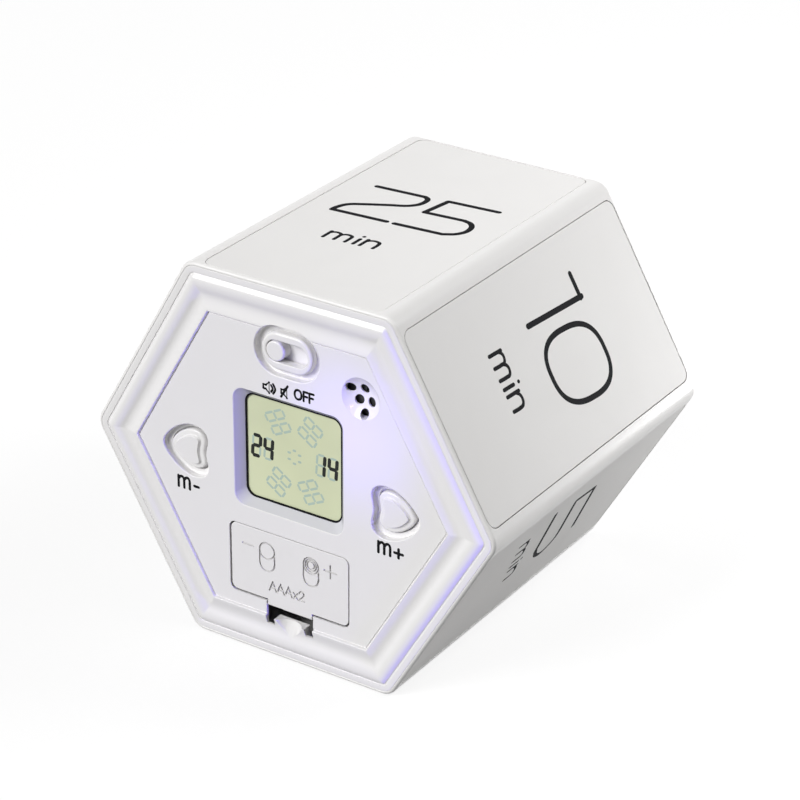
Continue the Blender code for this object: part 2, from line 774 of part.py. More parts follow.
def main_board():
    bm = bmesh.new()
    half = BOARD_WIDTH / 2
    crown = BOARD_TOP_WIDTH / 2
    outline = [
        (-half, BOARD_BOTTOM),
        (half, BOARD_BOTTOM),
        (half, BOARD_SHOULDER),
        (crown, BOARD_TOP),
        (-crown, BOARD_TOP),
        (-half, BOARD_SHOULDER),
    ]
    prism(bm, outline, BOARD_SET, BOARD_BACK)
    board = place("main_pcb", bm, BOARD_GREEN)
    holes = bmesh.new()
    for x, z in board_places():
        radius = SHANK_RADIUS + SHANK_GAP
        prism(holes, circle_outline(x, z, radius, HOLE_SIDES), BOARD_SET - OVERRUN, BOARD_BACK + OVERRUN)
    boolean(board, "board_hole_tool", holes)
    return board


def chip(name, x, z, side, thickness):
    bm = bmesh.new()
    prism(bm, rectangle_outline(x, z, side, side), BOARD_PARTS, BOARD_PARTS + thickness)
    return place(name, bm, CHIP_BLACK)


def crystal():
    bm = bmesh.new()
    turn = Matrix.Rotation(math.pi / 2, 4, "Y")
    shift = Matrix.Translation((CRYSTAL_X, BOARD_PARTS + CRYSTAL_RADIUS, CRYSTAL_Z))
    bmesh.ops.create_cone(
        bm,
        segments=16,
        cap_ends=True,
        radius1=CRYSTAL_RADIUS,
        radius2=CRYSTAL_RADIUS,
        depth=CRYSTAL_LENGTH,
        matrix=shift @ turn,
    )
    return place("crystal", bm, STEEL, smooth=True)


def capacitor():
    bm = bmesh.new()
    outline = circle_outline(CAPACITOR_X, CAPACITOR_Z, CAPACITOR_RADIUS)
    prism(bm, outline, BOARD_PARTS, BOARD_PARTS + CAPACITOR_LENGTH)
    return place("capacitor", bm, CHIP_BLACK, smooth=True)


# Sound switch


def slide_switch_body():
    bm = bmesh.new()
    outline = rectangle_outline(0, SWITCH_Z, SWITCH_BODY_LENGTH, SWITCH_BODY_HEIGHT)
    prism(bm, outline, SWITCH_BODY_SET, BOARD_SET - SEAM_GAP)
    body = place("slide_switch_body", bm, STEEL)
    slot = bmesh.new()
    length = LEVER_WIDTH + 2 * KNOB_STEP + 2 * GAP
    deep = BEHIND_PANEL + LEVER_LENGTH + 2 * GAP
    outline = rectangle_outline(0, SWITCH_Z, length, LEVER_HEIGHT + 2 * GAP)
    prism(slot, outline, SWITCH_BODY_SET - OVERRUN, deep)
    boolean(body, "lever_slot_tool", slot)
    return body


def switch_lever():
    bm = bmesh.new()
    outline = rectangle_outline(-KNOB_STEP, SWITCH_Z, LEVER_WIDTH, LEVER_HEIGHT)
    prism(bm, outline, BEHIND_PANEL + GAP, BEHIND_PANEL + GAP + LEVER_LENGTH)
    return place("switch_lever", bm, GREY_PLASTIC, pivot=(-KNOB_STEP, BEHIND_PANEL, SWITCH_Z))


def slide_knob():
    """A round knob on a dust plate that hides the slot, with a pocket for the switch's lever."""
    slot_length = 2 * (KNOB_RADIUS + KNOB_SIDE_GAP + KNOB_STEP)
    plate_length = slot_length + 2 * KNOB_STEP + KNOB_RADIUS / 2
    bm = bmesh.new()
    outline = stadium_outline(-KNOB_STEP, SWITCH_Z, plate_length, KNOB_PLATE_HEIGHT)
    prism(bm, outline, BEHIND_PANEL, BEHIND_PANEL + KNOB_PLATE_THICK)
    knob = place("slide_knob", bm, KNOB_WHITE, pivot=(-KNOB_STEP, BEHIND_PANEL, SWITCH_Z), smooth=True)
    head = bmesh.new()
    crown = circle_outline(-KNOB_STEP, SWITCH_Z, KNOB_RADIUS - KNOB_SIDE_GAP, KNOB_SIDES)
    side = circle_outline(-KNOB_STEP, SWITCH_Z, KNOB_RADIUS, KNOB_SIDES)
    rings = [
        outline_ring(head, crown, KNOB_SET),
        outline_ring(head, side, KNOB_SET + KNOB_SIDE_GAP),
        outline_ring(head, side, BEHIND_PANEL + KNOB_PLATE_THICK / 2),
    ]
    loft(head, rings)
    boolean(knob, "knob_head_tool", head, "UNION")
    pocket = bmesh.new()
    outline = rectangle_outline(-KNOB_STEP, SWITCH_Z, LEVER_WIDTH + 2 * GAP, LEVER_HEIGHT + 2 * GAP)
    prism(pocket, outline, BEHIND_PANEL, BEHIND_PANEL + OVERRUN)
    boolean(knob, "knob_pocket_tool", pocket)
    return knob


# Press buttons


def button_outline(side, clearance=0.0):
    tip = side * (BUTTON_X - BUTTON_TIP_SET + clearance)
    return pick_outline(tip, BUTTON_LENGTH + 2 * clearance, BUTTON_HEIGHT + 2 * clearance, side)


def button_centre(side):
    return side * (BUTTON_X - BUTTON_TIP_SET - BUTTON_LENGTH / 2)


def button(name, side):
    """A dished cap with a round rim, a flange that holds it in, and a stem for the switch."""
    bm = bmesh.new()
    flange = button_outline(side, BUTTON_FLANGE)
    shoulder = BEHIND_PANEL + BUTTON_FLANGE_THICK
    rings = [
        outline_ring(bm, button_outline(side), BUTTON_SET + BUTTON_ROUND),
        outline_ring(bm, button_outline(side), BEHIND_PANEL),
        outline_ring(bm, flange, BEHIND_PANEL),
        outline_ring(bm, flange, shoulder),
    ]
    loft(bm, rings)
    bm.faces.ensure_lookup_table()
    top = min(bm.faces, key=lambda face: face.calc_center_median().y)
    inset(bm, top, BUTTON_ROUND, BUTTON_ROUND)
    inset(bm, top, BUTTON_RIM - BUTTON_ROUND * 2, 0)
    inset(bm, top, BUTTON_ROUND, -BUTTON_DISH)
    pivot = (button_centre(side), BUTTON_SET, 0)
    cap = place(name, bm, KNOB_WHITE, pivot=pivot, smooth=True)
    stem = bmesh.new()
    outline = circle_outline(button_centre(side), 0, BUTTON_STEM_RADIUS)
    prism(stem, outline, BEHIND_PANEL + BUTTON_FLANGE_THICK / 2, shoulder + BUTTON_STEM_LENGTH)
    boolean(cap, name + "_stem_tool", stem, "UNION")
    return cap


def inset(bm, face, thickness, depth):
    """Shrink a face inside its border, and move it out by depth along its normal."""
    bmesh.ops.recalc_face_normals(bm, faces=bm.faces)
    bmesh.ops.inset_region(bm, faces=[face], thickness=thickness, depth=depth, use_even_offset=True)


def tact_body(name, side):
    bm = bmesh.new()
    outline = rectangle_outline(button_centre(side), 0, TACT_SIDE, TACT_SIDE)
    prism(bm, outline, TACT_SET, BOARD_SET - SEAM_GAP)
    body = place(name, bm, STEEL)
    well = bmesh.new()
    outline = circle_outline(button_centre(side), 0, TACT_PLUNGER_RADIUS + GAP)
    prism(well, outline, TACT_SET - OVERRUN, plunger_front() + TACT_PLUNGER_LENGTH + BUTTON_TRAVEL + GAP)
    boolean(body, name + "_well_tool", well)
    return body


def plunger_front():
    return BEHIND_PANEL + BUTTON_FLANGE_THICK + BUTTON_STEM_LENGTH + GAP


def tact_plunger(name, side):
    bm = bmesh.new()
    outline = circle_outline(button_centre(side), 0, TACT_PLUNGER_RADIUS)
    prism(bm, outline, plunger_front(), plunger_front() + TACT_PLUNGER_LENGTH)
    return place(name, bm, CHIP_BLACK, pivot=(button_centre(side), plunger_front(), 0), smooth=True)


# Sounder


def buzzer():
    x = DISH_X + BUZZER_SHIFT
    z = DISH_Z + BUZZER_SHIFT
    bm = bmesh.new()
    prism(bm, circle_outline(x, z, BUZZER_RADIUS, KNOB_SIDES), BEHIND_PANEL, BOARD_SET - SEAM_GAP)
    sounder = place("buzzer", bm, CHIP_BLACK, smooth=True)
    hole = bmesh.new()
    outline = circle_outline(x, z, BUZZER_HOLE_RADIUS, HOLE_SIDES)
    prism(hole, outline, -OVERRUN, BEHIND_PANEL + BUZZER_HOLE_DEPTH)
    boolean(sounder, "buzzer_hole_tool", hole)
    return sounder


# Battery door


def battery_door():
    bm = bmesh.new()
    middle = (DOOR_TOP + DOOR_BOTTOM) / 2
    outline = rounded_box_outline(0, middle, DOOR_WIDTH, DOOR_TOP - DOOR_BOTTOM, DOOR_CORNER)
    prism(bm, outline, PANEL_SET, PANEL_BACK)
    door = place("battery_door", bm, WHITE, pivot=door_pivot())
    boolean(door, "latch_tab_tool", latch_tab(), "UNION")
    boolean(door, "latch_hook_tool", latch_hook(), "UNION")
    boolean(door, "lug_tool", hinge_lugs(), "UNION")
    return door


def door_pivot():
    """The door tips out about its upper front edge."""
    return (0, PANEL_SET, DOOR_TOP)


def latch_tab():
    """The tab in the panel's face that a fingertip presses."""
    bm = bmesh.new()
    half = TAB_WIDTH / 2
    outline = span_outline(-half, half, DOOR_BOTTOM - TAB_LENGTH, DOOR_BOTTOM + DOOR_CORNER)
    prism(bm, outline, PANEL_SET, PANEL_BACK)
    return bm


def latch_hook():
    """The hook behind the tab, which reaches down behind the frame's edge."""
    root = DOOR_BOTTOM + DOOR_CORNER
    tab_foot = DOOR_BOTTOM - TAB_LENGTH
    seat = PANEL_BACK - HOOK_THICK / 3
    steps = (
        (seat, root),
        (seat, tab_foot + HOOK_THICK / 3),
        (HOOK_DEPTH - HOOK_THICK, tab_foot + HOOK_THICK / 3),
        (HOOK_DEPTH - HOOK_THICK, HOOK_BOTTOM),
        (HOOK_DEPTH, HOOK_BOTTOM),
        (HOOK_DEPTH, root),
    )
    bm = bmesh.new()
    rings = []
    for x in (-HOOK_WIDTH / 2, HOOK_WIDTH / 2):
        rings.append([bm.verts.new((x, depth, z)) for depth, z in steps])
    loft(bm, rings)
    return bm


def hinge_lugs():
    """Two tongues that rise behind the panel's edge, over which the door tips out."""
    bm = bmesh.new()
    front = PANEL_BACK + SEAM_GAP
    steps = (
        (PANEL_BACK - PANEL_THICK / 3, DOOR_TOP - LUG_ROOT),
        (front + LUG_THICK, DOOR_TOP - LUG_ROOT),
        (front + LUG_THICK, DOOR_TOP + LUG_RISE),
        (front, DOOR_TOP + LUG_RISE),
        (front, DOOR_TOP - LUG_ROOT / 4),
        (PANEL_BACK - PANEL_THICK / 3, DOOR_TOP - LUG_ROOT / 4),
    )
    for side in (-1, 1):
        rings = []
        for edge in (-LUG_WIDTH / 2, LUG_WIDTH / 2):
            rings.append([bm.verts.new((side * LUG_X + edge, depth, z)) for depth, z in steps])
        loft(bm, rings)
    return bm


def bridge_contact():
    bm = bmesh.new()
    outline = rectangle_outline(0, CELL_Z, BRIDGE_WIDTH, CONTACT_SIDE)
    prism(bm, outline, BEHIND_PANEL, DOOR_CONTACT)
    return place("bridge_contact", bm, NICKEL, pivot=door_pivot())


# Cells, cup and contacts


def battery_box():
    bm = bmesh.new()
    width = 2 * (CUP_HALF_WIDTH + CUP_WALL)
    height = 2 * (CUP_HALF_HEIGHT + CUP_WALL)
    prism(bm, rectangle_outline(0, CELL_Z, width, height), CUP_SET, CUP_FLOOR + CUP_WALL)
    box = place("battery_box", bm, GREY_PLASTIC)
    ears = bmesh.new()
    for x, z in cup_places():
        inner = math.copysign(CUP_HALF_WIDTH + CUP_WALL / 2, x)
        outer = math.copysign(abs(x) + CUP_EAR_WIDTH / 2, x)
        left, right = sorted((inner, outer))
        outline = span_outline(left, right, z - CUP_EAR_HEIGHT / 2, z + CUP_EAR_HEIGHT / 2)
        prism(ears, outline, CUP_SET, CUP_SET + CUP_EAR_THICK)
    boolean(box, "cup_ear_tool", ears, "UNION")
    rooms = bmesh.new()
    outline = rectangle_outline(0, CELL_Z, 2 * CUP_HALF_WIDTH, 2 * CUP_HALF_HEIGHT)
    prism(rooms, outline, CUP_SET - OVERRUN, CUP_FLOOR)
    for x, z in cup_places():
        outline = circle_outline(x, z, SHANK_RADIUS + SHANK_GAP, HOLE_SIDES)
        prism(rooms, outline, CUP_SET - OVERRUN, CUP_SET + CUP_EAR_THICK + OVERRUN)
    boolean(box, "cup_room_tool", rooms)
    slots = bmesh.new()
    half = TERMINAL_WIDTH / 2 + GAP
    for side in (-1, 1):
        x = side * CELL_PITCH / 2
        outline = span_outline(x - half, x + half, CELL_Z, CUP_ROOF + OVERRUN)
        prism(slots, outline, CUP_FLOOR - CONTACT_THICK - 2 * GAP, CUP_FLOOR - GAP / 2)
    boolean(box, "terminal_slot_tool", slots)
    return box


def cell(name, side, nub_faces_door):
    """A round cell with its raised positive end at the door or at the deep end."""
    bm = bmesh.new()
    if nub_faces_door:
        start = DOOR_CONTACT + GAP
        body = (start + CELL_NUB_LENGTH, start + CELL_LENGTH)
        nub = (start, start + CELL_NUB_LENGTH)
    else:
        end = CUP_FLOOR - CONTACT_THICK - 2 * GAP
        body = (end - CELL_LENGTH, end - CELL_NUB_LENGTH)
        nub = (end - CELL_NUB_LENGTH, end)
    x = side * CELL_PITCH / 2
    wide = circle_outline(x, CELL_Z, CELL_RADIUS, CELL_SIDES)
    slim = circle_outline(x, CELL_Z, CELL_NUB_RADIUS, CELL_SIDES)
    rings = [outline_ring(bm, wide, depth) for depth in body]
    tip = [outline_ring(bm, slim, depth) for depth in nub]
    loft(bm, tip + rings if nub_faces_door else rings + tip)
    return place(name, bm, CELL_GREEN, smooth=True)


def deep_plate(name, side):
    """A contact plate on the cup's floor, with a terminal that comes up through the cup's roof."""
    bm = bmesh.new()
    x = side * CELL_PITCH / 2
    half = CONTACT_SIDE / 2
    slim = TERMINAL_WIDTH / 2
    tip = CUP_ROOF + TERMINAL_RISE
    outline = [
        (x - half, CELL_Z - half),
        (x + half, CELL_Z - half),
        (x + half, CELL_Z + half),
        (x + slim, CELL_Z + half),
        (x + slim, tip),
        (x - slim, tip),
        (x - slim, CELL_Z + half),
        (x - half, CELL_Z + half),
    ]
    back = CUP_FLOOR - GAP
    prism(bm, outline, back - CONTACT_THICK, back)
    return place(name, bm, NICKEL)


def spring_points(x, base, heading):
    """A cone of wire from its wide foot at base towards heading, which is 1 for deeper."""
    total = SPRING_TURNS * SPRING_POINTS_PER_TURN
    rise = SPRING_HEIGHT - 2 * GAP - 2 * SPRING_WIRE_RADIUS
    points = []
    for step in range(total + 1):
        share = step / total
        angle = 2 * math.pi * SPRING_TURNS * share
        radius = SPRING_BASE_RADIUS + (SPRING_TIP_RADIUS - SPRING_BASE_RADIUS) * share
        depth = base + heading * (SPRING_WIRE_RADIUS + rise * share)
        points.append(Vector((x + radius * math.cos(angle), depth, CELL_Z + radius * math.sin(angle))))
    first = points[0] + (points[0] - points[1]).normalized() * 2 * SPRING_WIRE_RADIUS
    last = points[-1] + (points[-1] - points[-2]).normalized() * 2 * SPRING_WIRE_RADIUS
    return [first] + points + [last]


def least_gap(points):
    """Least air between the turns of one wire."""
    apart = SPRING_POINTS_PER_TURN // 2
    nearest = math.inf
    for index, point in enumerate(points):
        for other in points[index + apart:]:
            nearest = min(nearest, (point - other).length)
    return nearest - 2 * SPRING_WIRE_RADIUS


def wire(name, points, radius, look, pivot=(0, 0, 0), resolution=1):
    curve = bpy.data.curves.new(name, "CURVE")
    curve.dimensions = "3D"
    curve.bevel_depth = radius
    curve.bevel_resolution = resolution
    curve.use_fill_caps = True
    run = curve.splines.new("POLY")
    run.points.add(len(points) - 1)
    for knot, point in zip(run.points, points):
        knot.co = (*(point - Vector(pivot)), 1)
    piece = bpy.data.objects.new(name, curve)
    piece.location = PIVOT_TO_WORLD + Vector(pivot)
    curve.materials.append(make_material(name, look))
    bpy.context.collection.objects.link(piece)
    return piece


def contact_spring(name, side, base, heading, pivot=(0, 0, 0)):
    points = spring_points(side * CELL_PITCH / 2, base, heading)
    print(name, "least gap", round(least_gap(points) * 1000, 3), "mm")
    return wire(name, points, SPRING_WIRE_RADIUS, NICKEL, pivot)


def lead(name, side, look):
    """A wire from a terminal on the cup's roof forward to the board."""
    x = side * CELL_PITCH / 2
    level = CUP_ROOF + LEAD_RISE
    start = Vector((x, CUP_FLOOR - CONTACT_THICK - 2 * GAP, level))
    low = Vector((x, BOARD_PARTS + LEAD_BEND * 2, level))
    end = Vector((side * LEAD_BOARD_X, BOARD_PARTS, LEAD_BOARD_Z))
    pull = Vector((0, LEAD_BEND, 0))
    drop = interpolate_bezier(low, low - pull, end + pull, end, LEAD_STEPS)
    return wire(name, [start] + drop, LEAD_RADIUS, look, resolution=2)


# Fasteners


def screw(name, x, z, head_near, length):
    """A screw driven from behind: its head starts at head_near and its shank runs forward."""
    bm = bmesh.new()
    tip = SHANK_RADIUS / 2
    head_far = head_near + HEAD_HEIGHT
    sizes = (
        (tip, head_near - length),
        (SHANK_RADIUS, head_near - length + tip),
        (SHANK_RADIUS, head_near),
        (HEAD_RADIUS, head_near),
        (HEAD_RADIUS, head_far - HEAD_HEIGHT / 3),
        (HEAD_RADIUS - HEAD_HEIGHT / 3, head_far),
    )
    loft(bm, [outline_ring(bm, circle_outline(x, z, radius), depth) for radius, depth in sizes])
    piece = place(name, bm, STEEL, smooth=True)
    near = head_far - RECESS_DEPTH
    boolean(piece, name + "_recess_tool", cross_recess(x, z, near, head_far + OVERRUN))
    return piece


def cross_recess(x, z, near, far):
    arm = RECESS_LENGTH / 2
    half = RECESS_WIDTH / 2
    outline = []
    for quarter in range(4):
        turn = Matrix.Rotation(math.pi / 2 * quarter, 2)
        for point in ((arm, -half), (arm, half), (half, half)):
            turned = turn @ Vector(point)
            outline.append((x + turned.x, z + turned.y))
    bm = bmesh.new()
    prism(bm, outline, near, far)
    return bm


def screws():
    for index, (x, z) in enumerate(corner_places(), 1):
        screw(f"cover_screw_{index}", x, z, EAR_SET + EAR_THICK + GAP, COVER_SCREW_LENGTH)
        seat = REAR_FACE - REAR_COUNTERBORE + GAP / 3
        screw(f"rear_screw_{index}", x, z, seat, REAR_SCREW_LENGTH)
    for index, (x, z) in enumerate(board_places(), 1):
        screw(f"pcb_screw_{index}", x, z, BOARD_BACK + GAP, BOARD_SCREW_LENGTH)
    for index, (x, z) in enumerate(cup_places(), 1):
        screw(f"box_screw_{index}", x, z, CUP_SET + CUP_EAR_THICK + GAP, CUP_SCREW_LENGTH)


# Rear cover


def rear_cover():
    bm = bmesh.new()
    edge = SHELL_BORE + REAR_LAND_WIDTH - SEAM_GAP
    profile = (
        (edge, REAR_FACE - REAR_THICK),
        (edge, REAR_FACE - REAR_CHAMFER),
        (edge - REAR_CHAMFER, REAR_FACE),
    )
    loft(bm, [hex_ring(bm, apothem, depth) for apothem, depth in profile])
    cover = place("rear_cover", bm, WHITE, smooth=True)
    wells = bmesh.new()
    for x, z in corner_places():
        rings = []
        for radius, depth in (
            (SHANK_RADIUS + SHANK_GAP, REAR_FACE - REAR_THICK - OVERRUN),
            (SHANK_RADIUS + SHANK_GAP, REAR_FACE - REAR_COUNTERBORE - GAP),
            (HEAD_RADIUS + GAP, REAR_FACE - REAR_COUNTERBORE - GAP),
            (HEAD_RADIUS + GAP, REAR_FACE + OVERRUN),
        ):
            rings.append(outline_ring(wells, circle_outline(x, z, radius), depth))
        loft(wells, rings)
    boolean(cover, "rear_well_tool", wells)
    return cover


def build():
    clear_scene()
    hex_shell()
    front_cover()
    rear_cover()
    for index, value in enumerate(SIDE_VALUES):
        side_plate(index, value)
    lcd_panel()
    lcd_holder()
    zebra_strip("zebra_strip_upper", 1)
    zebra_strip("zebra_strip_lower", -1)
    main_board()
    chip("controller_chip", CHIP_X, CHIP_Z, CHIP_SIDE, CHIP_THICK)
    chip("tilt_sensor", SENSOR_X, SENSOR_Z, SENSOR_SIDE, SENSOR_THICK)
    crystal()
    capacitor()
    slide_switch_body()
    switch_lever()
    slide_knob()
    for name, side in (("minus", -1), ("plus", 1)):
        button("button_" + name, side)
        tact_body("tact_body_" + name, side)
        tact_plunger("tact_plunger_" + name, side)
    buzzer()
    battery_door()
    bridge_contact()
    contact_spring("bridge_spring", -1, DOOR_CONTACT + GAP, 1, door_pivot())
    battery_box()
    cell("cell_left", -1, False)
    cell("cell_right", 1, True)
    deep_plate("positive_plate", -1)
    deep_plate("negative_plate", 1)
    contact_spring("negative_spring", 1, CUP_FLOOR - CONTACT_THICK - 2 * GAP, -1)
    lead("lead_red", -1, LEAD_RED)
    lead("lead_black", 1, LEAD_BLACK)
    screws()


build()
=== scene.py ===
import math

import bmesh
import bpy
from mathutils import Matrix, Vector
from mathutils.geometry import interpolate_bezier


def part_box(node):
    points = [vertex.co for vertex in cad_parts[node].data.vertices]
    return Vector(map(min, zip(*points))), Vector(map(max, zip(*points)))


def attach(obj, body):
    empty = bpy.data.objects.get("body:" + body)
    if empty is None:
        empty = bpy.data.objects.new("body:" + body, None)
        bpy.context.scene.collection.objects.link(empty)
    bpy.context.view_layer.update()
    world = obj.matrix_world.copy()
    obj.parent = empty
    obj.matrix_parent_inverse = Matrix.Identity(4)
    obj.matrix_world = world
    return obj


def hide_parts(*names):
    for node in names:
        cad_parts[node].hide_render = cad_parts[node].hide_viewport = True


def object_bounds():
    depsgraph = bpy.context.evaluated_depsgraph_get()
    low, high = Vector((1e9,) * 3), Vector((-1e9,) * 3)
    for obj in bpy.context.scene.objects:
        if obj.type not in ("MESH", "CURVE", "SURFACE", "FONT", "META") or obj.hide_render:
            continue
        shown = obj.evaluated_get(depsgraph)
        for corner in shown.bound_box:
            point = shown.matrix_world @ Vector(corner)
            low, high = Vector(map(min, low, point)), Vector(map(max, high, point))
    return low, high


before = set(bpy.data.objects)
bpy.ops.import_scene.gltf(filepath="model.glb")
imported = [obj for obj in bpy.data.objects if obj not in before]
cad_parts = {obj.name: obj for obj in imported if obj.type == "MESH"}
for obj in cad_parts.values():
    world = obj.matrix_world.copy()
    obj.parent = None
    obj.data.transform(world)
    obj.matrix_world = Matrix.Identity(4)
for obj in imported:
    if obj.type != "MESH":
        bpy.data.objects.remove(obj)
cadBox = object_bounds()

mm = 0.001
frontY = cadBox[0].y  # the foremost edge, from which depths are counted back
middleZ = (cadBox[0].z + cadBox[1].z) / 2
apothem = (cadBox[1].z - cadBox[0].z) / 2
bodyDepth = cadBox[1].y - cadBox[0].y
cos30 = math.cos(math.radians(30))
poke = 2 * mm  # how far a cutter stands out of what it cuts
hair = 0.002 * mm  # how far a cutter's rounding starts below the face, so that no two faces coincide
weld = 0.0002 * mm  # corners of a cut that are closer than this are one
touch = 0.001 * mm  # what is closer than this counts as the same place
bevelSlack = 0.02 * mm  # a bevel stays this much narrower than half its block
roundShare = 0.3  # how far the middle of a rounding lies inside its corner, in radii
print("frame loaded, box", [round(v / mm, 2) for v in (*cadBox[0], *cadBox[1])])


# small tools used for every piece

def sized(**lengths):
    # a dictionary of lengths that are given in millimetres
    return {label: length * mm for label, length in lengths.items()}


def setAll(thing, settings):
    for label, value in settings.items():
        setattr(thing, label, value)


def enter(mode):
    bpy.ops.object.mode_set(mode=mode)


def settle():
    # puts the active object's place, turn and scale into its mesh
    bpy.ops.object.transform_apply(location=True, rotation=True, scale=True)


def nothingSelected():
    if bpy.context.object and bpy.context.object.mode != "OBJECT":
        enter("OBJECT")
    bpy.ops.object.select_all(action="DESELECT")


def select(piece):
    nothingSelected()
    piece.select_set(True)
    bpy.context.view_layer.objects.active = piece


def selectFaces(test):
    mesh = bmesh.from_edit_mesh(bpy.context.object.data)
    bpy.ops.mesh.select_mode(type="FACE")
    bpy.ops.mesh.select_all(action="DESELECT")
    for face in mesh.faces:
        face.select = test(face)
    mesh.select_flush_mode()
    bmesh.update_edit_mesh(bpy.context.object.data)


def atDepth(depth):
    return lambda face: all(abs(vert.co.y - depth) < touch for vert in face.verts)


def faceOutwards():
    bpy.ops.mesh.select_all(action="SELECT")
    bpy.ops.mesh.normals_make_consistent(inside=False)


def modify(piece, kind, **settings):
    # adds a modifier and applies it
    step = piece.modifiers.new(kind, kind)
    setAll(step, settings)
    select(piece)
    bpy.ops.object.modifier_apply(modifier=step.name)


def carve(piece, tool, operation="DIFFERENCE", crossing=False):
    # crossing is for a tool whose own parts run through each other
    modify(piece, "BOOLEAN", operation=operation, solver="EXACT", use_self=crossing, object=tool)
    bpy.data.objects.remove(tool)


def cut(piece, tool, operation="DIFFERENCE"):
    # carves, and welds the corners that the cut leaves almost in one place
    carve(piece, tool, operation)
    enter("EDIT")
    bpy.ops.mesh.select_mode(type="VERT")
    bpy.ops.mesh.select_all(action="SELECT")
    bpy.ops.mesh.remove_doubles(threshold=weld)
    enter("OBJECT")


def softEdges(piece, width):
    modify(piece, "BEVEL", width=width, segments=3, limit_method="ANGLE", angle_limit=math.radians(40),
           harden_normals=False)


def smooth(piece, angle):
    # large faces keep their own direction, and roundings blend into them
    select(piece)
    bpy.ops.object.shade_smooth_by_angle(angle=math.radians(angle))
    modify(piece, "WEIGHTED_NORMAL", keep_sharp=True)


def finishPiece(piece, material, replaced=(), body="case", angle=32):
    # a finished piece sits at the origin, with its place in its mesh
    select(piece)
    settle()
    piece.data.transform(Matrix.Translation((0, frontY, middleZ)))
    smooth(piece, angle)
    piece.data.materials.clear()
    piece.data.materials.append(material)
    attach(piece, body)
    if replaced:
        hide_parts(*replaced)


def paintFaces(piece, material, test):
    # gives a second material to each face whose middle, measured from the front's middle, passes the test
    piece.data.materials.append(material)
    for face in piece.data.polygons:
        if test(face.center - Vector((0, frontY, middleZ)), face.normal):
            face.material_index = 1


def join(pieces, name):
    nothingSelected()
    for piece in pieces:
        piece.select_set(True)
    bpy.context.view_layer.objects.active = pieces[0]
    if len(pieces) > 1:
        bpy.ops.object.join()
    bpy.context.object.name = name
    return bpy.context.object


# blocks and pegs that run along the depth, left in edit mode and facing outwards

def roundedBlock(name, x, z, width, height, radius, near, far, segments=6):
    # a block with its four edges along the depth rounded
    lengthwise, doubles = 0.9, radius / 40
    nothingSelected()
    bpy.ops.mesh.primitive_cube_add(
        size=1, location=(x, (near + far) / 2, z), scale=(width, far - near, height))
    block = bpy.context.object
    block.name = name
    settle()
    enter("EDIT")
    mesh = bmesh.from_edit_mesh(block.data)
    bpy.ops.mesh.select_mode(type="EDGE")
    bpy.ops.mesh.select_all(action="DESELECT")
    for edge in mesh.edges:
        run = edge.verts[0].co - edge.verts[1].co
        edge.select = abs(run.y) > lengthwise * run.length
    bmesh.update_edit_mesh(block.data)
    if radius:
        bpy.ops.mesh.bevel(offset=radius, segments=segments, profile=0.5, affect="EDGES", clamp_overlap=True)
        bpy.ops.mesh.select_all(action="SELECT")
        bpy.ops.mesh.remove_doubles(threshold=doubles)
    faceOutwards()
    return block


def roundPeg(name, x, z, radius, near, far, sides=32):
    nothingSelected()
    bpy.ops.mesh.primitive_cylinder_add(
        vertices=sides, radius=radius, depth=far - near,
        location=(x, (near + far) / 2, z), rotation=(math.pi / 2, 0, 0))
    peg = bpy.context.object
    peg.name = name
    settle()
    enter("EDIT")
    faceOutwards()
    return peg


def ball(radius, place, segments, rings, turn=0):
    nothingSelected()
    bpy.ops.mesh.primitive_uv_sphere_add(
        segments=segments, ring_count=rings, radius=radius, location=place, rotation=(turn, 0, 0))
    settle()
    return bpy.context.object


pickKnots = (  # share of length, share of half height, then both handles: tip, lobe, side, dent
    ((0, 0), (0, -0.34), (0, 0.34)),
    ((0.68, 1), (0.36, 1), (0.88, 1)),
    ((1, 0.52), (1, 0.78), (1, 0.34)),
    ((0.96, 0), (0.96, 0.2), (0.96, -0.2)),
    ((1, -0.52), (1, -0.34), (1, -0.78)),
    ((0.68, -1), (0.88, -1), (0.36, -1)),
)


def pickBlock(name, side, tip, length, height, near, far):
    # the rounded pick of the two press buttons, its tip turned to the given side
    nothingSelected()
    bpy.ops.curve.primitive_bezier_circle_add(radius=mm)
    drawn = bpy.context.object
    drawn.name = name
    spline = drawn.data.splines[0]
    spline.bezier_points.add(len(pickKnots) - len(spline.bezier_points))
    for knot, places in zip(spline.bezier_points, pickKnots):
        knot.handle_left_type = "FREE"
        knot.handle_right_type = "FREE"
        spots = [Vector((tip - side * x * length, 0, z * height / 2)) for x, z in places]
        knot.co, knot.handle_left, knot.handle_right = spots
    drawn.data.resolution_u = 10
    drawn.data.dimensions = "3D"
    drawn.data.fill_mode = "FULL"
    bpy.ops.object.convert(target="MESH")
    block = bpy.context.object
    enter("EDIT")
    bpy.ops.mesh.select_all(action="SELECT")
    bpy.ops.mesh.remove_doubles(threshold=touch)
    bpy.ops.mesh.edge_face_add()
    bpy.ops.transform.translate(value=(0, near, 0))
    bpy.ops.mesh.extrude_region_move(TRANSFORM_OT_translate={"value": (0, far - near, 0)})
    faceOutwards()
    return block


def sink(depth, steps):
    # takes the flat face at this depth and insets it step by step along its normal
    selectFaces(atDepth(depth))
    for inset, rise in steps:
        bpy.ops.mesh.inset(thickness=inset, depth=rise, use_even_offset=True)


def quarterRound(radius, count=4, inward=True):
    # inset and rise steps that turn a quarter circle
    steps = []
    for index in range(count):
        a = math.pi / 2 * index / count
        b = math.pi / 2 * (index + 1) / count
        inset = radius * (math.cos(a) - math.cos(b))
        rise = radius * (math.sin(b) - math.sin(a))
        steps.append((inset, rise) if inward else (rise, inset))
    return steps


# rings of the hexagon

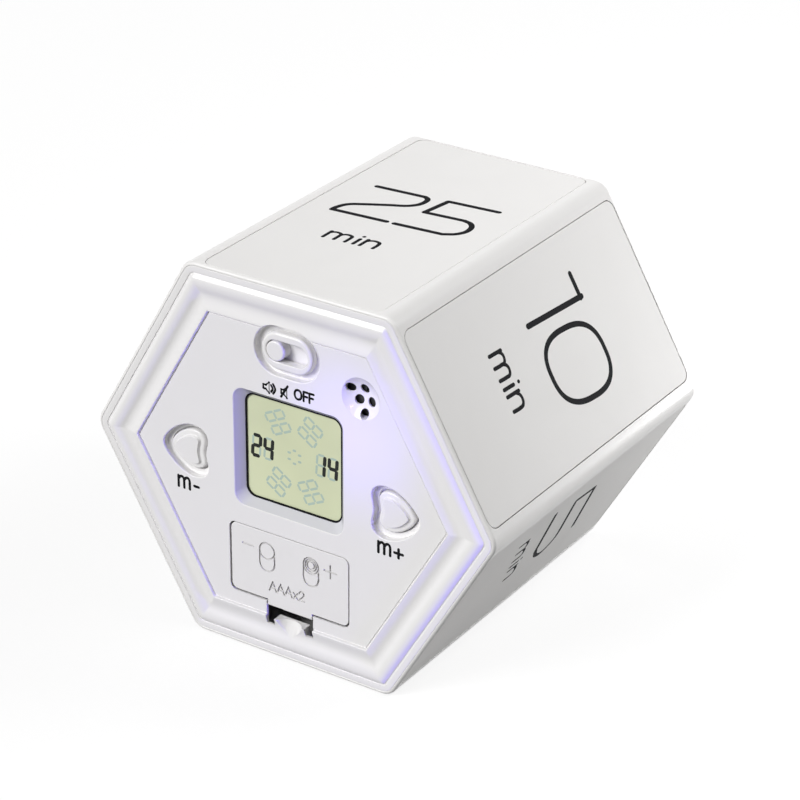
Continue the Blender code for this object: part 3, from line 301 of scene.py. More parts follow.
def cornerRadius(across, edges):
    # the long edges' rounding fades to the nearly sharp corners inside the lip
    share = max(0, (across - edges["insideLip"]) / (apothem - edges["insideLip"]))
    return edges["sharpCorner"] + (edges["longEdge"] - edges["sharpCorner"]) * share


def hexRing(across, depth, corner, segments):
    # six sides with a fillet at each corner
    places = []
    for index in range(6):
        middle = math.pi / 3 * index
        reach = (across - corner) / cos30
        for step in range(segments + 1):
            turn = middle + math.pi / 3 * (step / segments - 0.5)
            places.append((
                reach * math.cos(middle) + corner * math.cos(turn), depth,
                reach * math.sin(middle) + corner * math.sin(turn)))
    return places


def ringedSolid(name, profile, edges, closed=False, segments=10):
    # one rounded hexagon for each place in the profile, joined to the one before
    rings = [hexRing(across, depth, cornerRadius(across, edges), segments) for across, depth in profile]
    count = len(rings[0])
    verts = [place for ring in rings for place in ring]
    faces = []
    for number in range(len(rings) if closed else len(rings) - 1):
        here, there = number * count, (number + 1) % len(rings) * count
        for step in range(count):
            after = (step + 1) % count
            faces.append((here + step, here + after, there + after, there + step))
    if not closed:
        faces.append(tuple(range(count)))
        faces.append(tuple(range(len(verts) - count, len(verts))))
    mesh = bpy.data.meshes.new(name)
    mesh.from_pydata(verts, [], faces)
    piece = bpy.data.objects.new(name, mesh)
    bpy.context.collection.objects.link(piece)
    select(piece)
    enter("EDIT")
    faceOutwards()
    enter("OBJECT")
    return piece


def smoothProfile(places, count=3):
    # a smooth line through given places
    line = []
    last = len(places) - 1
    for index in range(last):
        before, start, end, after = [
            Vector((*places[min(max(index + shift, 0), last)], 0)) for shift in (-1, 0, 1, 2)]
        first = start + (end - before) / 6
        second = end - (after - start) / 6
        line.extend((p.x, p.y) for p in interpolate_bezier(start, first, second, end, count + 1)[:-1])
    line.append(places[-1])
    return line


def layOnTop(piece, back, up, turn=math.pi / 2):
    # tips a piece that was drawn facing forward, and puts it on the top side
    select(piece)
    piece.data.transform(Matrix.Translation((0, back, up)) @ Matrix.Rotation(turn, 4, "X"))


def turnToSide(piece, index):
    # a piece drawn on the top side goes to the side with this number, counted to the right
    select(piece)
    piece.data.transform(Matrix.Rotation(math.pi / 3 * index, 4, "Y"))


# materials

def makeGroup(name, inputs, outputs):
    group = bpy.data.node_groups.new(name, "ShaderNodeTree")
    for label, value in inputs.items():
        socket = group.interface.new_socket(label, in_out="INPUT", socket_type="NodeSocketFloat")
        socket.default_value = value
    for label, kind in outputs.items():
        group.interface.new_socket(label, in_out="OUTPUT", socket_type=kind)
    return group, group.nodes.new("NodeGroupInput"), group.nodes.new("NodeGroupOutput")


def node(tree, kind, inputs=None, **settings):
    made = tree.nodes.new("ShaderNode" + kind)
    setAll(made, settings)
    for label, value in (inputs or {}).items():
        made.inputs[label].default_value = value
    return made


def wire(tree, *runs):
    # each run: from this node's output to that node's input
    for start, output, end, entry in runs:
        tree.links.new(start.outputs[output], end.inputs[entry])


def reckon(tree, operation, *values):
    # a math node on outputs, each given with its node, and on plain numbers
    made = node(tree, "Math", operation=operation)
    for entry, value in enumerate(values):
        if isinstance(value, tuple):
            wire(tree, (*value, made, entry))
        else:
            made.inputs[entry].default_value = value
    return made


def newMaterial(name, inputs):
    material = bpy.data.materials.new(name)
    material.use_nodes = True
    shader = material.node_tree.nodes["Principled BSDF"]
    for label, value in inputs.items():
        shader.inputs[label].default_value = value
    return material, material.node_tree, shader


def mouldedGrain():
    # fine spark-eroded grain, slow waviness and faint handling marks
    group, given, result = makeGroup(
        "mouldedGrain",
        {"grainSize": 2600, "grainDepth": 1, "waveDepth": 0.2, "marks": 0.1},
        {"height": "NodeSocketFloat", "roughnessShift": "NodeSocketFloat", "tone": "NodeSocketFloat"})
    place = node(group, "TexCoord")
    grain = node(group, "TexNoise", {"Detail": 3, "Roughness": 0.6})
    wave = node(group, "TexNoise", {"Scale": 110, "Detail": 2})
    smudge = node(group, "TexNoise", {"Scale": 62, "Detail": 5, "Distortion": 1.4})
    for texture in (grain, wave, smudge):
        wire(group, (place, "Object", texture, "Vector"))
    fine = reckon(group, "MULTIPLY", (grain, "Fac"), (given, "grainDepth"))
    slow = reckon(group, "MULTIPLY", (wave, "Fac"), (given, "waveDepth"))
    height = reckon(group, "ADD", (fine, 0), (slow, 0))
    centred = reckon(group, "SUBTRACT", (smudge, "Fac"), 0.5)
    shift = reckon(group, "MULTIPLY", (centred, 0), (given, "marks"))
    wire(
        group, (given, "grainSize", grain, "Scale"), (height, 0, result, "height"),
        (shift, 0, result, "roughnessShift"), (smudge, "Fac", result, "tone"))
    return group


grainGroup = mouldedGrain()


def plastic(name, colour, shade, roughness, bump, marks=0.1, grainSize=2600, coat=0, metallic=0,
            specular=0.5):
    # moulded plastic or plated metal: two near colours, a roughness that wanders and a fine grain
    material, tree, shader = newMaterial(name, {
        "Metallic": metallic, "Coat Weight": coat, "Coat Roughness": 0.1, "Specular IOR Level": specular})
    grain = node(tree, "Group", {"grainSize": grainSize, "marks": marks}, node_tree=grainGroup)
    mix = node(tree, "Mix", {"A": (*colour, 1), "B": (*shade, 1)}, data_type="RGBA")
    rough = reckon(tree, "ADD", (grain, "roughnessShift"), roughness)
    relief = node(tree, "Bump", {"Distance": bump * mm})
    wire(
        tree, (grain, "tone", mix, "Factor"), (mix, "Result", shader, "Base Color"),
        (rough, 0, shader, "Roughness"),
        (grain, "height", relief, "Height"), (relief, "Normal", shader, "Normal"))
    return material


def displayMaterial():
    # the grey-green reflector under the glass, with slow clouds of a duller tone
    material, tree, shader = newMaterial("displayGlass", {"Roughness": 0.12})
    place = node(tree, "TexCoord")
    cloud = node(tree, "TexNoise", {"Scale": 90})
    tones = {"A": (0.65, 0.69, 0.46, 1), "B": (0.46, 0.5, 0.35, 1)}
    mix = node(tree, "Mix", tones, data_type="RGBA")
    ramp = node(tree, "MapRange", {"From Min": 0.35, "From Max": 0.85, "To Max": 0.35})
    fine = node(tree, "TexNoise", {"Scale": 3000})
    relief = node(tree, "Bump", {"Distance": 0.001 * mm})
    wire(
        tree, (place, "Object", cloud, "Vector"), (place, "Object", fine, "Vector"),
        (cloud, "Fac", ramp, "Value"), (ramp, "Result", mix, "Factor"), (mix, "Result", shader, "Base Color"),
        (fine, "Fac", relief, "Height"), (relief, "Normal", shader, "Normal"))
    return material


shellPlastic = plastic("shellPlastic", (0.8, 0.79, 0.78), (0.77, 0.76, 0.75), 0.33, 0.006)
mouldingPlastic = plastic("mouldingPlastic", (0.8, 0.79, 0.79), (0.78, 0.77, 0.77), 0.2, 0.003, 0.06)
# a darker grey for the display window's walls: painted shade in the recess
wallPaintedShade = plastic("wallPaintedShade", (0.6, 0.6, 0.63), (0.57, 0.57, 0.6), 0.16, 0.002, 0.05)
platePlastic = plastic(
    "platePlastic", (0.8, 0.79, 0.78), (0.775, 0.765, 0.755), 0.62, 0.012, specular=0.3)
buttonPlastic = plastic("buttonPlastic", (0.8, 0.79, 0.79), (0.78, 0.77, 0.77), 0.2, 0.003, 0.08)
doorPlastic = plastic("doorPlastic", (0.79, 0.78, 0.775), (0.77, 0.76, 0.755), 0.4, 0.014)
# a darker grey for the door's engraved marks: painted shade in the grooves
paintedGrooveShade = plastic("paintedGrooveShade", (0.6, 0.59, 0.59), (0.55, 0.54, 0.54), 0.5, 0.002)
printInk = plastic("printInk", (0.004, 0.004, 0.005), (0.01, 0.01, 0.012), 0.7, 0.002, 0.15, specular=0.06)
segmentInk = plastic("segmentInk", (0.008, 0.01, 0.009), (0.016, 0.018, 0.016), 0.4, 0.001, specular=0.2)
ghostInk = plastic("ghostInk", (0.42, 0.53, 0.46), (0.38, 0.49, 0.44), 0.2, 0.001)
displayGlass = displayMaterial()
innerPlastic = plastic("innerPlastic", (0.3, 0.3, 0.3), (0.25, 0.25, 0.25), 0.5, 0.02)
contactRubber = plastic("contactRubber", (0.05, 0.05, 0.05), (0.09, 0.08, 0.08), 0.8, 0.02)
boardLaminate = plastic(
    "boardLaminate", (0.02, 0.18, 0.07), (0.03, 0.25, 0.1), 0.32, 0.02, 0.15, grainSize=700)
chipBody = plastic("chipBody", (0.02, 0.02, 0.02), (0.035, 0.035, 0.035), 0.45, 0.02)
tinnedMetal = plastic("tinnedMetal", (0.6, 0.6, 0.62), (0.52, 0.52, 0.55), 0.3, 0.004, 0.2, metallic=1)
contactNickel = plastic("contactNickel", (0.66, 0.64, 0.6), (0.58, 0.55, 0.5), 0.24, 0.003, 0.2, metallic=1)
cellJacket = plastic("cellJacket", (0.05, 0.16, 0.1), (0.04, 0.13, 0.09), 0.34, 0.004, coat=0.4)
redSleeve = plastic("redSleeve", (0.5, 0.02, 0.02), (0.42, 0.02, 0.02), 0.5, 0.01)
blackSleeve = plastic("blackSleeve", (0.02, 0.02, 0.02), (0.035, 0.035, 0.035), 0.5, 0.01)
screwSteel = plastic("screwSteel", (0.6, 0.6, 0.62), (0.5, 0.5, 0.53), 0.28, 0.004, 0.25, metallic=1)
print("materials made")


# sizes that the pieces share, from the frame where it gives them

edges = sized(sharpCorner=0.3, insideLip=31.9)
edges["longEdge"] = (apothem / cos30 - cadBox[1].x) / (1 / cos30 - 1)  # as wide as the frame at its corners
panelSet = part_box("battery_door")[0].y - frontY  # the panel's face behind the foremost edge
panelThick = 1.6 * mm
panelBack = panelSet + panelThick
mouth = panelSet + hair  # where the cutters of its openings begin to flare
through = panelBack + poke  # where the cutters that go through it end
seatGap = 0.25 * mm  # between the panel and what sits behind it


def shellSkin():
    # the six-sided body, with a sunk field for each plate
    look = sized(rimWidth=0.61, rimSet=0.5, rimRound=0.55, wall=2.74, seamSet=0.553, slope=1.75,
                 rearLand=1.1, rearRebate=2.3, rearRound=0.3, fieldCorner=2, fieldGap=0.15, fieldDepth=0.75)
    seam = apothem - look["rimWidth"]
    bore = apothem - look["wall"]
    profile = [(seam, look["seamSet"])]
    for step in range(7):
        a = math.pi / 2 * step / 6
        inset, rise = look["rimRound"] * (1 - math.sin(a)), look["rimRound"] * (1 - math.cos(a))
        profile.append((apothem - inset, look["rimSet"] + rise))
    profile += [
        (apothem, bodyDepth - look["rearRound"]),
        (apothem - look["rearRound"] * roundShare, bodyDepth - look["rearRound"] * roundShare),
        (apothem - look["rearRound"], bodyDepth),
        (bore + look["rearLand"], bodyDepth),
        (bore + look["rearLand"], bodyDepth - look["rearRebate"]),
        (bore, bodyDepth - look["rearRebate"]),
        (bore, look["seamSet"] + look["slope"]),
        (seam - look["slope"], look["seamSet"] + look["slope"]),
    ]
    skin = ringedSolid("shellSkin", profile, edges, closed=True)
    plateLow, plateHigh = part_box("side_plate_25")
    near = plateLow.y - frontY - look["fieldGap"]
    far = plateHigh.y - frontY + look["fieldGap"]
    width = plateHigh.x - plateLow.x + 2 * look["fieldGap"]
    fields = []
    for index in range(6):
        field = roundedBlock(
            "plateField", 0, 0, width, far - near, look["fieldCorner"], 0, poke + look["fieldDepth"])
        layOnTop(field, (near + far) / 2, apothem - look["fieldDepth"])
        turnToSide(field, index)
        fields.append(field)
    cut(skin, join(fields, "plateFields"))
    finishPiece(skin, shellPlastic, ["hex_shell"])


shellSkin()
print("body made")


def frontMoulding():
    # lip, ogee frame and panel in one moulding, with every opening and recess in it
    look = sized(edgeSet=0.45, seam=0.65, lip=1.12, frame=6.21, drop=0.9, slope=1.5, skirt=1, skirtEnd=4.5,
                 wall=2.74, gap=0.3)
    edge = apothem - look["seam"]
    lipEdge = edge - look["lip"]
    ogee = (  # share across the frame from the lip and share of its drop, down to the groove round the panel
        (0.008, 0.7), (0.022, 0.69), (0.045, 0.58), (0.075, 0.41), (0.11, 0.25), (0.15, 0.13), (0.2, 0.06),
        (0.26, 0.04), (0.32, 0.08), (0.38, 0.17), (0.44, 0.31), (0.5, 0.46), (0.555, 0.54), (0.61, 0.56),
        (0.67, 0.52), (0.74, 0.41), (0.81, 0.26), (0.87, 0.12), (0.92, 0.03), (0.95, 0), (0.968, 0.06),
        (0.98, 0.31), (0.986, 0.54), (1, 0.62), (1.014, 0.54), (1.022, 0.42),
        (1.03, panelSet / look["drop"]))
    lip = ((1, 0.62), (0.97, 0.57), (0.86, 0.54), (0.63, 0.52), (0.38, 0.52), (0.14, 0.53), (0, 0.56))
    profile = [(lipEdge + a * look["lip"], d * look["drop"]) for a, d in smoothProfile(lip, 2)]
    profile += [(lipEdge - a * look["frame"], d * look["drop"]) for a, d in smoothProfile(ogee, 3)]
    profile.reverse()
    foot = look["edgeSet"] + look["slope"]
    outer = apothem - look["wall"] - look["gap"]
    inner = outer - look["skirt"]
    profile += [
        (edge - look["slope"], foot), (outer, foot), (outer, look["skirtEnd"]), (inner, look["skirtEnd"]),
        (inner, panelBack)]
    moulding = ringedSolid("frontMoulding", profile, edges)
    tools = switchTools() + buttonTools() + [displayTool()] + dishTools() + doorTools() + latchTools()
    for tool in tools:
        cut(moulding, tool, "UNION" if tool.name.startswith("collar") else "DIFFERENCE")
    finishPiece(moulding, mouldingPlastic, ["front_cover"], angle=28)
    paintDisplayWallShade(moulding)


def paintDisplayWallShade(moulding):
    # the display window's sloped walls get the darker grey: painted shade in the recess
    look = {"past": 0.05 * mm, "below": panelSet + 0.2 * mm, "flat": 0.9}
    half = display["mouth"] / 2 + look["past"]

    def onWall(middle, normal):
        inside = abs(middle.x) < half and abs(middle.z - display["z"]) < half
        return inside and middle.y > look["below"] and abs(normal.y) < look["flat"]

    paintFaces(moulding, wallPaintedShade, onWall)


display = sized(z=3.7, mouth=21.7, mouthRadius=2.1, throat=19.3, rim=0.15)
switch = sized(z=23.15, moatLength=12.84, moatHeight=8.84, moatDepth=1.33, collarLength=10.1,
               collarHeight=6.7, collarRound=0.55, collarSet=0.3, collarFoot=0.3, slotLength=8.2,
               slotHeight=3.8, knobRadius=1.75)
press = sized(tip=25.65, moatLength=9.3, moatHeight=9.7, moatDepth=1.33, tipSet=1.3, length=7, height=7.2,
              gap=0.3)
moatRim = 0.18 * mm
moatFloor = 0.25 * mm
dish = {"x": 14.3 * mm, "z": 19.2 * mm, "radius": 3.65 * mm, "depth": 1.35 * mm, "wall": 0.3 * mm,
        "hole": 0.84 * mm, "pitch": 2.45 * mm, "startX": -2.35 * mm, "startZ": 1.25 * mm, "turn": 0.07}
doorGap = sized(undercut=0.5, edge=0.3, wide=0.38, narrow=0.24, corner=1.35, lug=1.35)
latchSlot = sized(halfWidth=4.75, top=-23.75, bottom=-27.1, notchBottom=-28.5, notch=1.7, overlap=1,
                  relief=1.4, reliefSet=0.4, thin=0.55, corner=0.12)
scoop = {"radius": 3.2 * mm, "tilt": 0.38, "foot": -30.9 * mm, "length": 16 * mm}


def rimmedCutter(tool, depth, floor=0, face=mouth):
    # a cutter whose mouth flares by the rim's rounding and whose floor is rounded
    steps = quarterRound(moatRim, inward=False) + [(0, depth - moatRim - floor)]
    if floor:
        steps += quarterRound(floor)
    sink(face, steps)
    return tool


def switchTools():
    # the moat round the sound switch, the collar that stands in it, and the knob's slot
    wide = 2 * moatRim
    moat = roundedBlock(
        "moatTool", 0, switch["z"], switch["moatLength"] + wide, switch["moatHeight"] + wide,
        switch["moatHeight"] / 2 + moatRim - bevelSlack, -poke, mouth, segments=14)
    rimmedCutter(moat, switch["moatDepth"], moatFloor)
    shoulder = switch["collarSet"] + switch["collarRound"]
    collar = roundedBlock(
        "collarTool", 0, switch["z"], switch["collarLength"], switch["collarHeight"],
        switch["collarHeight"] / 2 - bevelSlack / 2, shoulder, panelBack - switch["collarFoot"],
        segments=14)
    sink(shoulder, quarterRound(switch["collarRound"], 5))
    face = switch["collarSet"] + hair
    slot = roundedBlock(
        "slotTool", 0, switch["z"], switch["slotLength"] + wide, switch["slotHeight"] + wide,
        switch["slotHeight"] / 2 + moatRim - bevelSlack, -poke, face, segments=10)
    return [moat, collar, rimmedCutter(slot, 2 * poke, face=face)]


def buttonTools():
    # each button's recess, and the hole that its cap comes through
    tools = []
    wide, gap = 2 * moatRim, press["gap"]
    for side in (-1, 1):
        outline = (side * (press["tip"] + moatRim), press["moatLength"] + wide, press["moatHeight"] + wide)
        pick = pickBlock("buttonMoatTool", side, *outline, -poke, mouth)
        tools.append(rimmedCutter(pick, press["moatDepth"], moatFloor))
        tip = side * (press["tip"] - press["tipSet"] + gap)
        outline = (tip, press["length"] + 2 * gap, press["height"] + 2 * gap)
        tools.append(pickBlock("buttonHoleTool", side, *outline, -poke, through))
    return tools


def displayTool():
    # the display's window, with walls that slope in to its glass
    rim = display["rim"]
    tool = roundedBlock(
        "displayTool", 0, display["z"], display["mouth"] + 2 * rim, display["mouth"] + 2 * rim,
        display["mouthRadius"] + rim, -poke, mouth, segments=8)
    sink(mouth, quarterRound(rim, 3, inward=False))
    narrow = display["throat"] / display["mouth"]
    deep = panelBack - mouth - rim
    bpy.ops.mesh.extrude_region_move(TRANSFORM_OT_translate={"value": (0, deep, 0)})
    bpy.ops.transform.resize(value=(narrow, 1, narrow), center_override=(0, panelBack, display["z"]))
    bpy.ops.mesh.inset(thickness=0, depth=poke, use_even_offset=True)
    return tool


def dishTools():
    # the speaker's dish, a hollow behind it that keeps its wall thin, and five holes
    radius = (dish["radius"] ** 2 + dish["depth"] ** 2) / (2 * dish["depth"])
    middle = (dish["x"], panelSet + dish["depth"] - radius, dish["z"])
    bowl = ball(radius, middle, 96, 96, math.pi / 2)
    wall = ball(radius + dish["wall"], middle, 64, 64, math.pi / 2)
    hollow = roundPeg(
        "dishHollow", dish["x"], dish["z"], dish["radius"], panelSet + 2 * dish["wall"], through, sides=64)
    cut(hollow, wall)
    holes = []
    for along, down in ((0, 0), (1, 0), (0, 1), (1, 1), (0, 2)):
        row, fall = dish["turn"], dish["turn"] - math.pi / 3
        x = dish["startX"] + dish["pitch"] * (along * math.cos(row) + down * math.cos(fall))
        z = dish["startZ"] + dish["pitch"] * (along * math.sin(row) + down * math.sin(fall))
        holes.append(roundPeg("soundHole", dish["x"] + x, dish["z"] + z, dish["hole"], -poke, through))
    return [bowl, hollow, join(holes, "soundHoles")]


def doorTools():
    # the door's opening, wider behind the panel's thin edge
    low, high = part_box("battery_door")
    left, right = low.x - doorGap["wide"], high.x + doorGap["narrow"]
    top = high.z - middleZ - doorGap["lug"] + doorGap["narrow"]
    foot = latchSlot["top"] - doorGap["wide"]
    tools = []
    for wider, near in ((0, -poke), (doorGap["undercut"], panelSet + doorGap["edge"])):
        tools.append(roundedBlock(
            "doorTool", (left + right) / 2, (top + foot) / 2, right - left + 2 * wider,
            top - foot + 2 * wider, doorGap["corner"] + wider, near, through))
    return tools


def latchTools():
    # the slot under the door's tab, its two notches, the hollows behind them and the finger's scoop
    half, notch, relief, corner = (latchSlot[part] for part in ("halfWidth", "notch", "relief", "corner"))
    top, bottom, notchBottom = latchSlot["top"], latchSlot["bottom"], latchSlot["notchBottom"]
    slot = roundedBlock("latchSlotTool", 0, (top + bottom) / 2, 2 * half, top - bottom, 0, -poke, through)
    notches, reliefs = [], []
    for side in (-1, 1):
        upper = bottom + latchSlot["overlap"]
        notches.append(roundedBlock(
            "notchTool", side * (half - notch / 2), (upper + notchBottom) / 2, notch, upper - notchBottom,
            corner, -poke, through))
        upper, lower = top - latchSlot["reliefSet"], notchBottom - relief
        reliefs.append(roundedBlock(
            "latchRelief", side * (half + relief / 2 - notch / 2), (upper + lower) / 2, notch + relief,
            upper - lower, corner, panelSet + latchSlot["thin"], through))
    tools = [slot, join(notches, "notches"), join(reliefs, "latchReliefs")]
    nothingSelected()
    bpy.ops.mesh.primitive_cylinder_add(vertices=96, radius=scoop["radius"], depth=scoop["length"])
    trough = bpy.context.object
    trough.data.transform(
        Matrix.Translation((0, 0, scoop["foot"])) @ Matrix.Rotation(-scoop["tilt"], 4, "X")
        @ Matrix.Translation((0, -scoop["radius"], 0)))
    return tools + [trough]


frontMoulding()
print("front moulding made")


# strokes with round ends, for printing, engraving and the display's segments

def line(*spots):
    return ("line", spots)


def bend(*spots):
    return ("bend", spots)


def oval(across, up, halfWidth, halfHeight, power=2.6, count=24):
    places = []
    for index in range(count):
        angle = 2 * math.pi * index / count
        x, z = math.cos(angle), math.sin(angle)
        places.append((
            across + halfWidth * math.copysign(abs(x) ** (2 / power), x),
            up + halfHeight * math.copysign(abs(z) ** (2 / power), z)))
    return ("loop", places)


def tubes(name, lines, radius):
    # each line is a kind (line, bend or loop) and its places across and up, in millimetres
    made = []
    for kind, places in lines:
        nothingSelected()
        bpy.ops.curve.primitive_bezier_curve_add(radius=mm)
        drawn = bpy.context.object
        spline = drawn.data.splines[0]
        if len(places) > 2:
            spline.bezier_points.add(len(places) - 2)
        handle = "VECTOR" if kind == "line" else "AUTO"
        for knot, (across, up) in zip(spline.bezier_points, places):
            knot.handle_left_type = handle
            knot.handle_right_type = handle
            knot.co = (across * mm, 0, up * mm)
        spline.use_cyclic_u = kind == "loop"
        drawn.data.dimensions = "3D"
        drawn.data.resolution_u = 1 if kind == "line" else 6
        drawn.data.bevel_depth = radius
        drawn.data.bevel_resolution = 2
        drawn.data.use_fill_caps = True
        bpy.ops.object.convert(target="MESH")
        made.append(bpy.context.object)
        ends = {"line": places, "bend": (places[0], places[-1]), "loop": ()}
        for across, up in ends[kind]:
            made.append(ball(radius, (across * mm, 0, up * mm), 12, 8))
    return join(made, name)


def inked(name, lines, radius, rise, depth):
    # flat strokes that stand by a hair out of the face at this depth
    piece = tubes(name, lines, radius)
    piece.data.transform(Matrix.Translation((0, depth, 0)) @ Matrix.Diagonal((1, rise / radius, 1, 1)))
    return piece


def placed(lines, across, up, stretch=1, tall=1, lean=0, slope=0):
    # moves strokes, and widens, heightens, leans or slopes them
    moved = []
    for kind, places in lines:
        spots = []
        for x, z in places:
            wide = x * stretch + z * tall * lean
            spots.append((across + wide, up + z * tall + slope * wide))
        moved.append((kind, spots))
    return moved


digits = {  # strokes from each digit's lower left corner, in millimetres
    "0": [oval(5.9, 6.85, 5.9, 6.85)],
    "1": [line((0, 13.4), (3.9, 13.4)), line((3.8, 13.8), (3, 0))],
    "2": [
        line((0.8, 12.55), (10.15, 13.2)),
        bend((10.15, 13.2), (11, 12.7), (11.35, 11.2), (10.6, 9.1), (6.5, 6.55), (3.2, 4.7), (1.1, 3.25),
             (0.2, 1.45), (0, 0)),
        line((0, 0), (10.55, 0.7))],
    "3": [
        line((1.2, 13.1), (8.6, 13.4)),
        bend((8.6, 13.4), (10.5, 12.6), (11, 10.4), (9.9, 8.2), (7.6, 7.2)),
        line((7.6, 7.2), (3.4, 7)),
        bend((7.6, 7.2), (10.2, 6.3), (11.4, 4.2), (10.8, 2), (8.6, 0.6)),
        line((8.6, 0.6), (0.2, 0.1))],
    "5": [
        line((11.95, 13.8), (2.45, 13)),
        line((2.45, 13), (1.55, 6.85)),
        line((1.55, 6.85), (9, 7.5)),
        bend((9, 7.5), (10.65, 6.95), (11.75, 4.75), (11.05, 2.25), (9, 0.7)),
        line((9, 0.7), (0, 0))],
    "min": [
        line((0, 0), (0, 3)),
        bend((0, 2.2), (0.5, 2.85), (1.3, 3), (2, 2.6), (2.1, 1.8), (2.1, 0)),
        bend((2.1, 2.2), (2.6, 2.85), (3.4, 3), (4.1, 2.6), (4.2, 1.8), (4.2, 0)),
        line((5.75, 0), (5.75, 2.5)),
        line((5.75, 3.75), (5.75, 3.8)),
        line((7, 0), (7, 3)),
        bend((7, 2.1), (7.6, 2.8), (8.5, 3), (9.3, 2.6), (9.5, 1.8), (9.5, 0))],
}

sides = {  # in the order of the sides: digit, place across, place back, then stretch, height, lean and slope
    "25": (("2", -12.3, 31), ("5", -0.2, 31.75), ("min", -7, 20.6, 1, 0.9, 0, 0.06)),
    "10": (("1", -10.1, 30.8, 1.13, 1.22), ("0", -3.6, 31.15, 1.06, 1.2, 0.075),
           ("min", -6.2, 18.3, 1.03, 1.15, 0.04)),
    "5": (("5", -12.45, 25.45, 1.5, 1.11, -0.08, 0.33), ("min", -9.7, 16.3, 1.37, 1, 0, 0.46)),
    "15": (("1", -8.3, 31.2), ("5", -1.9, 31.4), ("min", -4.8, 20.4)),
    "30": (("3", -12.4, 31.2), ("0", 1, 31.2), ("min", -4.8, 20.4)),
    "50": (("5", -12.7, 31.2), ("0", 1.2, 31.2), ("min", -4.8, 20.4)),
}


def sidePlate(index, value):
    # a thin plate with a rounded rim and the side's value printed on it
    look = {"corner": 1.8 * mm, "rim": 0.12 * mm, "under": 0.03 * mm, "ink": 0.024 * mm, "digit": 0.51 * mm,
            "letter": 0.34 * mm, "back": 0.15}
    low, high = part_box("side_plate_25")
    near, far = low.y - frontY, high.y - frontY
    thick = high.z - low.z - look["under"]
    plate = roundedBlock(
        "plate" + value, 0, 0, high.x - low.x, far - near, look["corner"], 0, thick, segments=8)
    layOnTop(plate, (near + far) / 2, low.z - middleZ)
    softEdges(plate, look["rim"])
    turnToSide(plate, index)
    slot = "side_plate_" + value
    finishPiece(plate, platePlastic, [slot])
    for part in ("digit", "letter"):
        lines = []
        for name, across, back, *bent in sides[value]:
            if (name == "min") == (part == "letter"):
                lines += placed(digits[name], across, back + look["back"], *bent)
        printed = inked("print" + value + part, lines, look[part], look["ink"], 0)
        layOnTop(printed, 0, high.z - middleZ - look["under"], -math.pi / 2)
        turnToSide(printed, index)
        finishPiece(printed, printInk)


for index, value in enumerate(sides):
    sidePlate(index, value)
print("side plates made")


def pressButton(side, name, body):
    # a rounded cap with a low pad on it, on a flange and a stem
    look = sized(round=0.36, land=0.5, foot=0.06, wall=0.16, rise=0.3, crown=0.08, flange=0.8,
                 flangeThick=0.7, stem=1.5, stemLong=0.7)
    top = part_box(name)[0].y - frontY
    behind = panelBack + seatGap
    tip = side * (press["tip"] - press["tipSet"])
    near = top + look["round"] + look["foot"] + look["rise"] + look["crown"]
    inFlange, rear = behind + look["flangeThick"] / 2, behind + look["flangeThick"]
    cap = pickBlock(name + "Cap", side, tip, press["length"], press["height"], near, inFlange)
    steps = quarterRound(look["round"], 5) + [(look["land"], 0)]
    steps += [(rise, inset) for inset, rise in reversed(quarterRound(look["foot"], 2))]
    steps += [(look["wall"], look["rise"])] + quarterRound(look["crown"], 3)
    sink(near, steps)
    wide = look["flange"]
    flange = pickBlock(
        name + "Flange", side, tip + side * wide, press["length"] + 2 * wide, press["height"] + 2 * wide,
        behind, rear)
    cut(cap, flange, "UNION")
    middle = tip - side * press["length"] / 2
    stem = roundPeg(name + "Stem", middle, 0, look["stem"], inFlange, rear + look["stemLong"])
    cut(cap, stem, "UNION")
    finishPiece(cap, buttonPlastic, [name], body, angle=40)


pressButton(-1, "button_minus", "minus_button")
pressButton(1, "button_plus", "plus_button")


def slideKnob():
    # a round knob on the plate that hides the slot
    look = sized(round=0.3, plateThick=0.5, plateHeight=5.2, pocketWidth=2.2, pocketHeight=2)
    low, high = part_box("slide_knob")
    top = low.y - frontY + look["round"]
    behind = panelBack + seatGap
    middle = (low.x + high.x) / 2
    plate = roundedBlock(
        "knobPlate", middle, switch["z"], high.x - low.x, look["plateHeight"],
        look["plateHeight"] / 2 - bevelSlack / 2, behind, behind + look["plateThick"], segments=12)
    knob = roundPeg(
        "knob", middle, switch["z"], switch["knobRadius"], top, behind + look["plateThick"] / 2, sides=64)
    sink(top, quarterRound(look["round"], 5))
    cut(plate, knob, "UNION")
    pocket = roundedBlock(
        "knobPocket", middle, switch["z"], look["pocketWidth"], look["pocketHeight"], 0, behind,
        behind + poke)
    cut(plate, pocket)
    finishPiece(plate, buttonPlastic, ["slide_knob"], "sound_knob")


slideKnob()
print("buttons and knob made")


def cellIcon(across, withNub):
    # a battery seen end-on, with its body below the end
    half, end = 1.5, -14.5
    shoulder = ((half, end), (half, -15.8), (half, -16.9), (1.05, -17.95))
    lines = [
        oval(across, end, half, half, 2, 16),
        bend(*[(across - x, z) for x, z in shoulder], (across, -18.3),
             *[(across + x, z) for x, z in reversed(shoulder)])]
    if withNub:
        lines += [oval(across, -14.4, 0.72, 0.72, 2, 12), oval(across, -14.45, 1.1, 1.1, 2, 12)]
    return lines


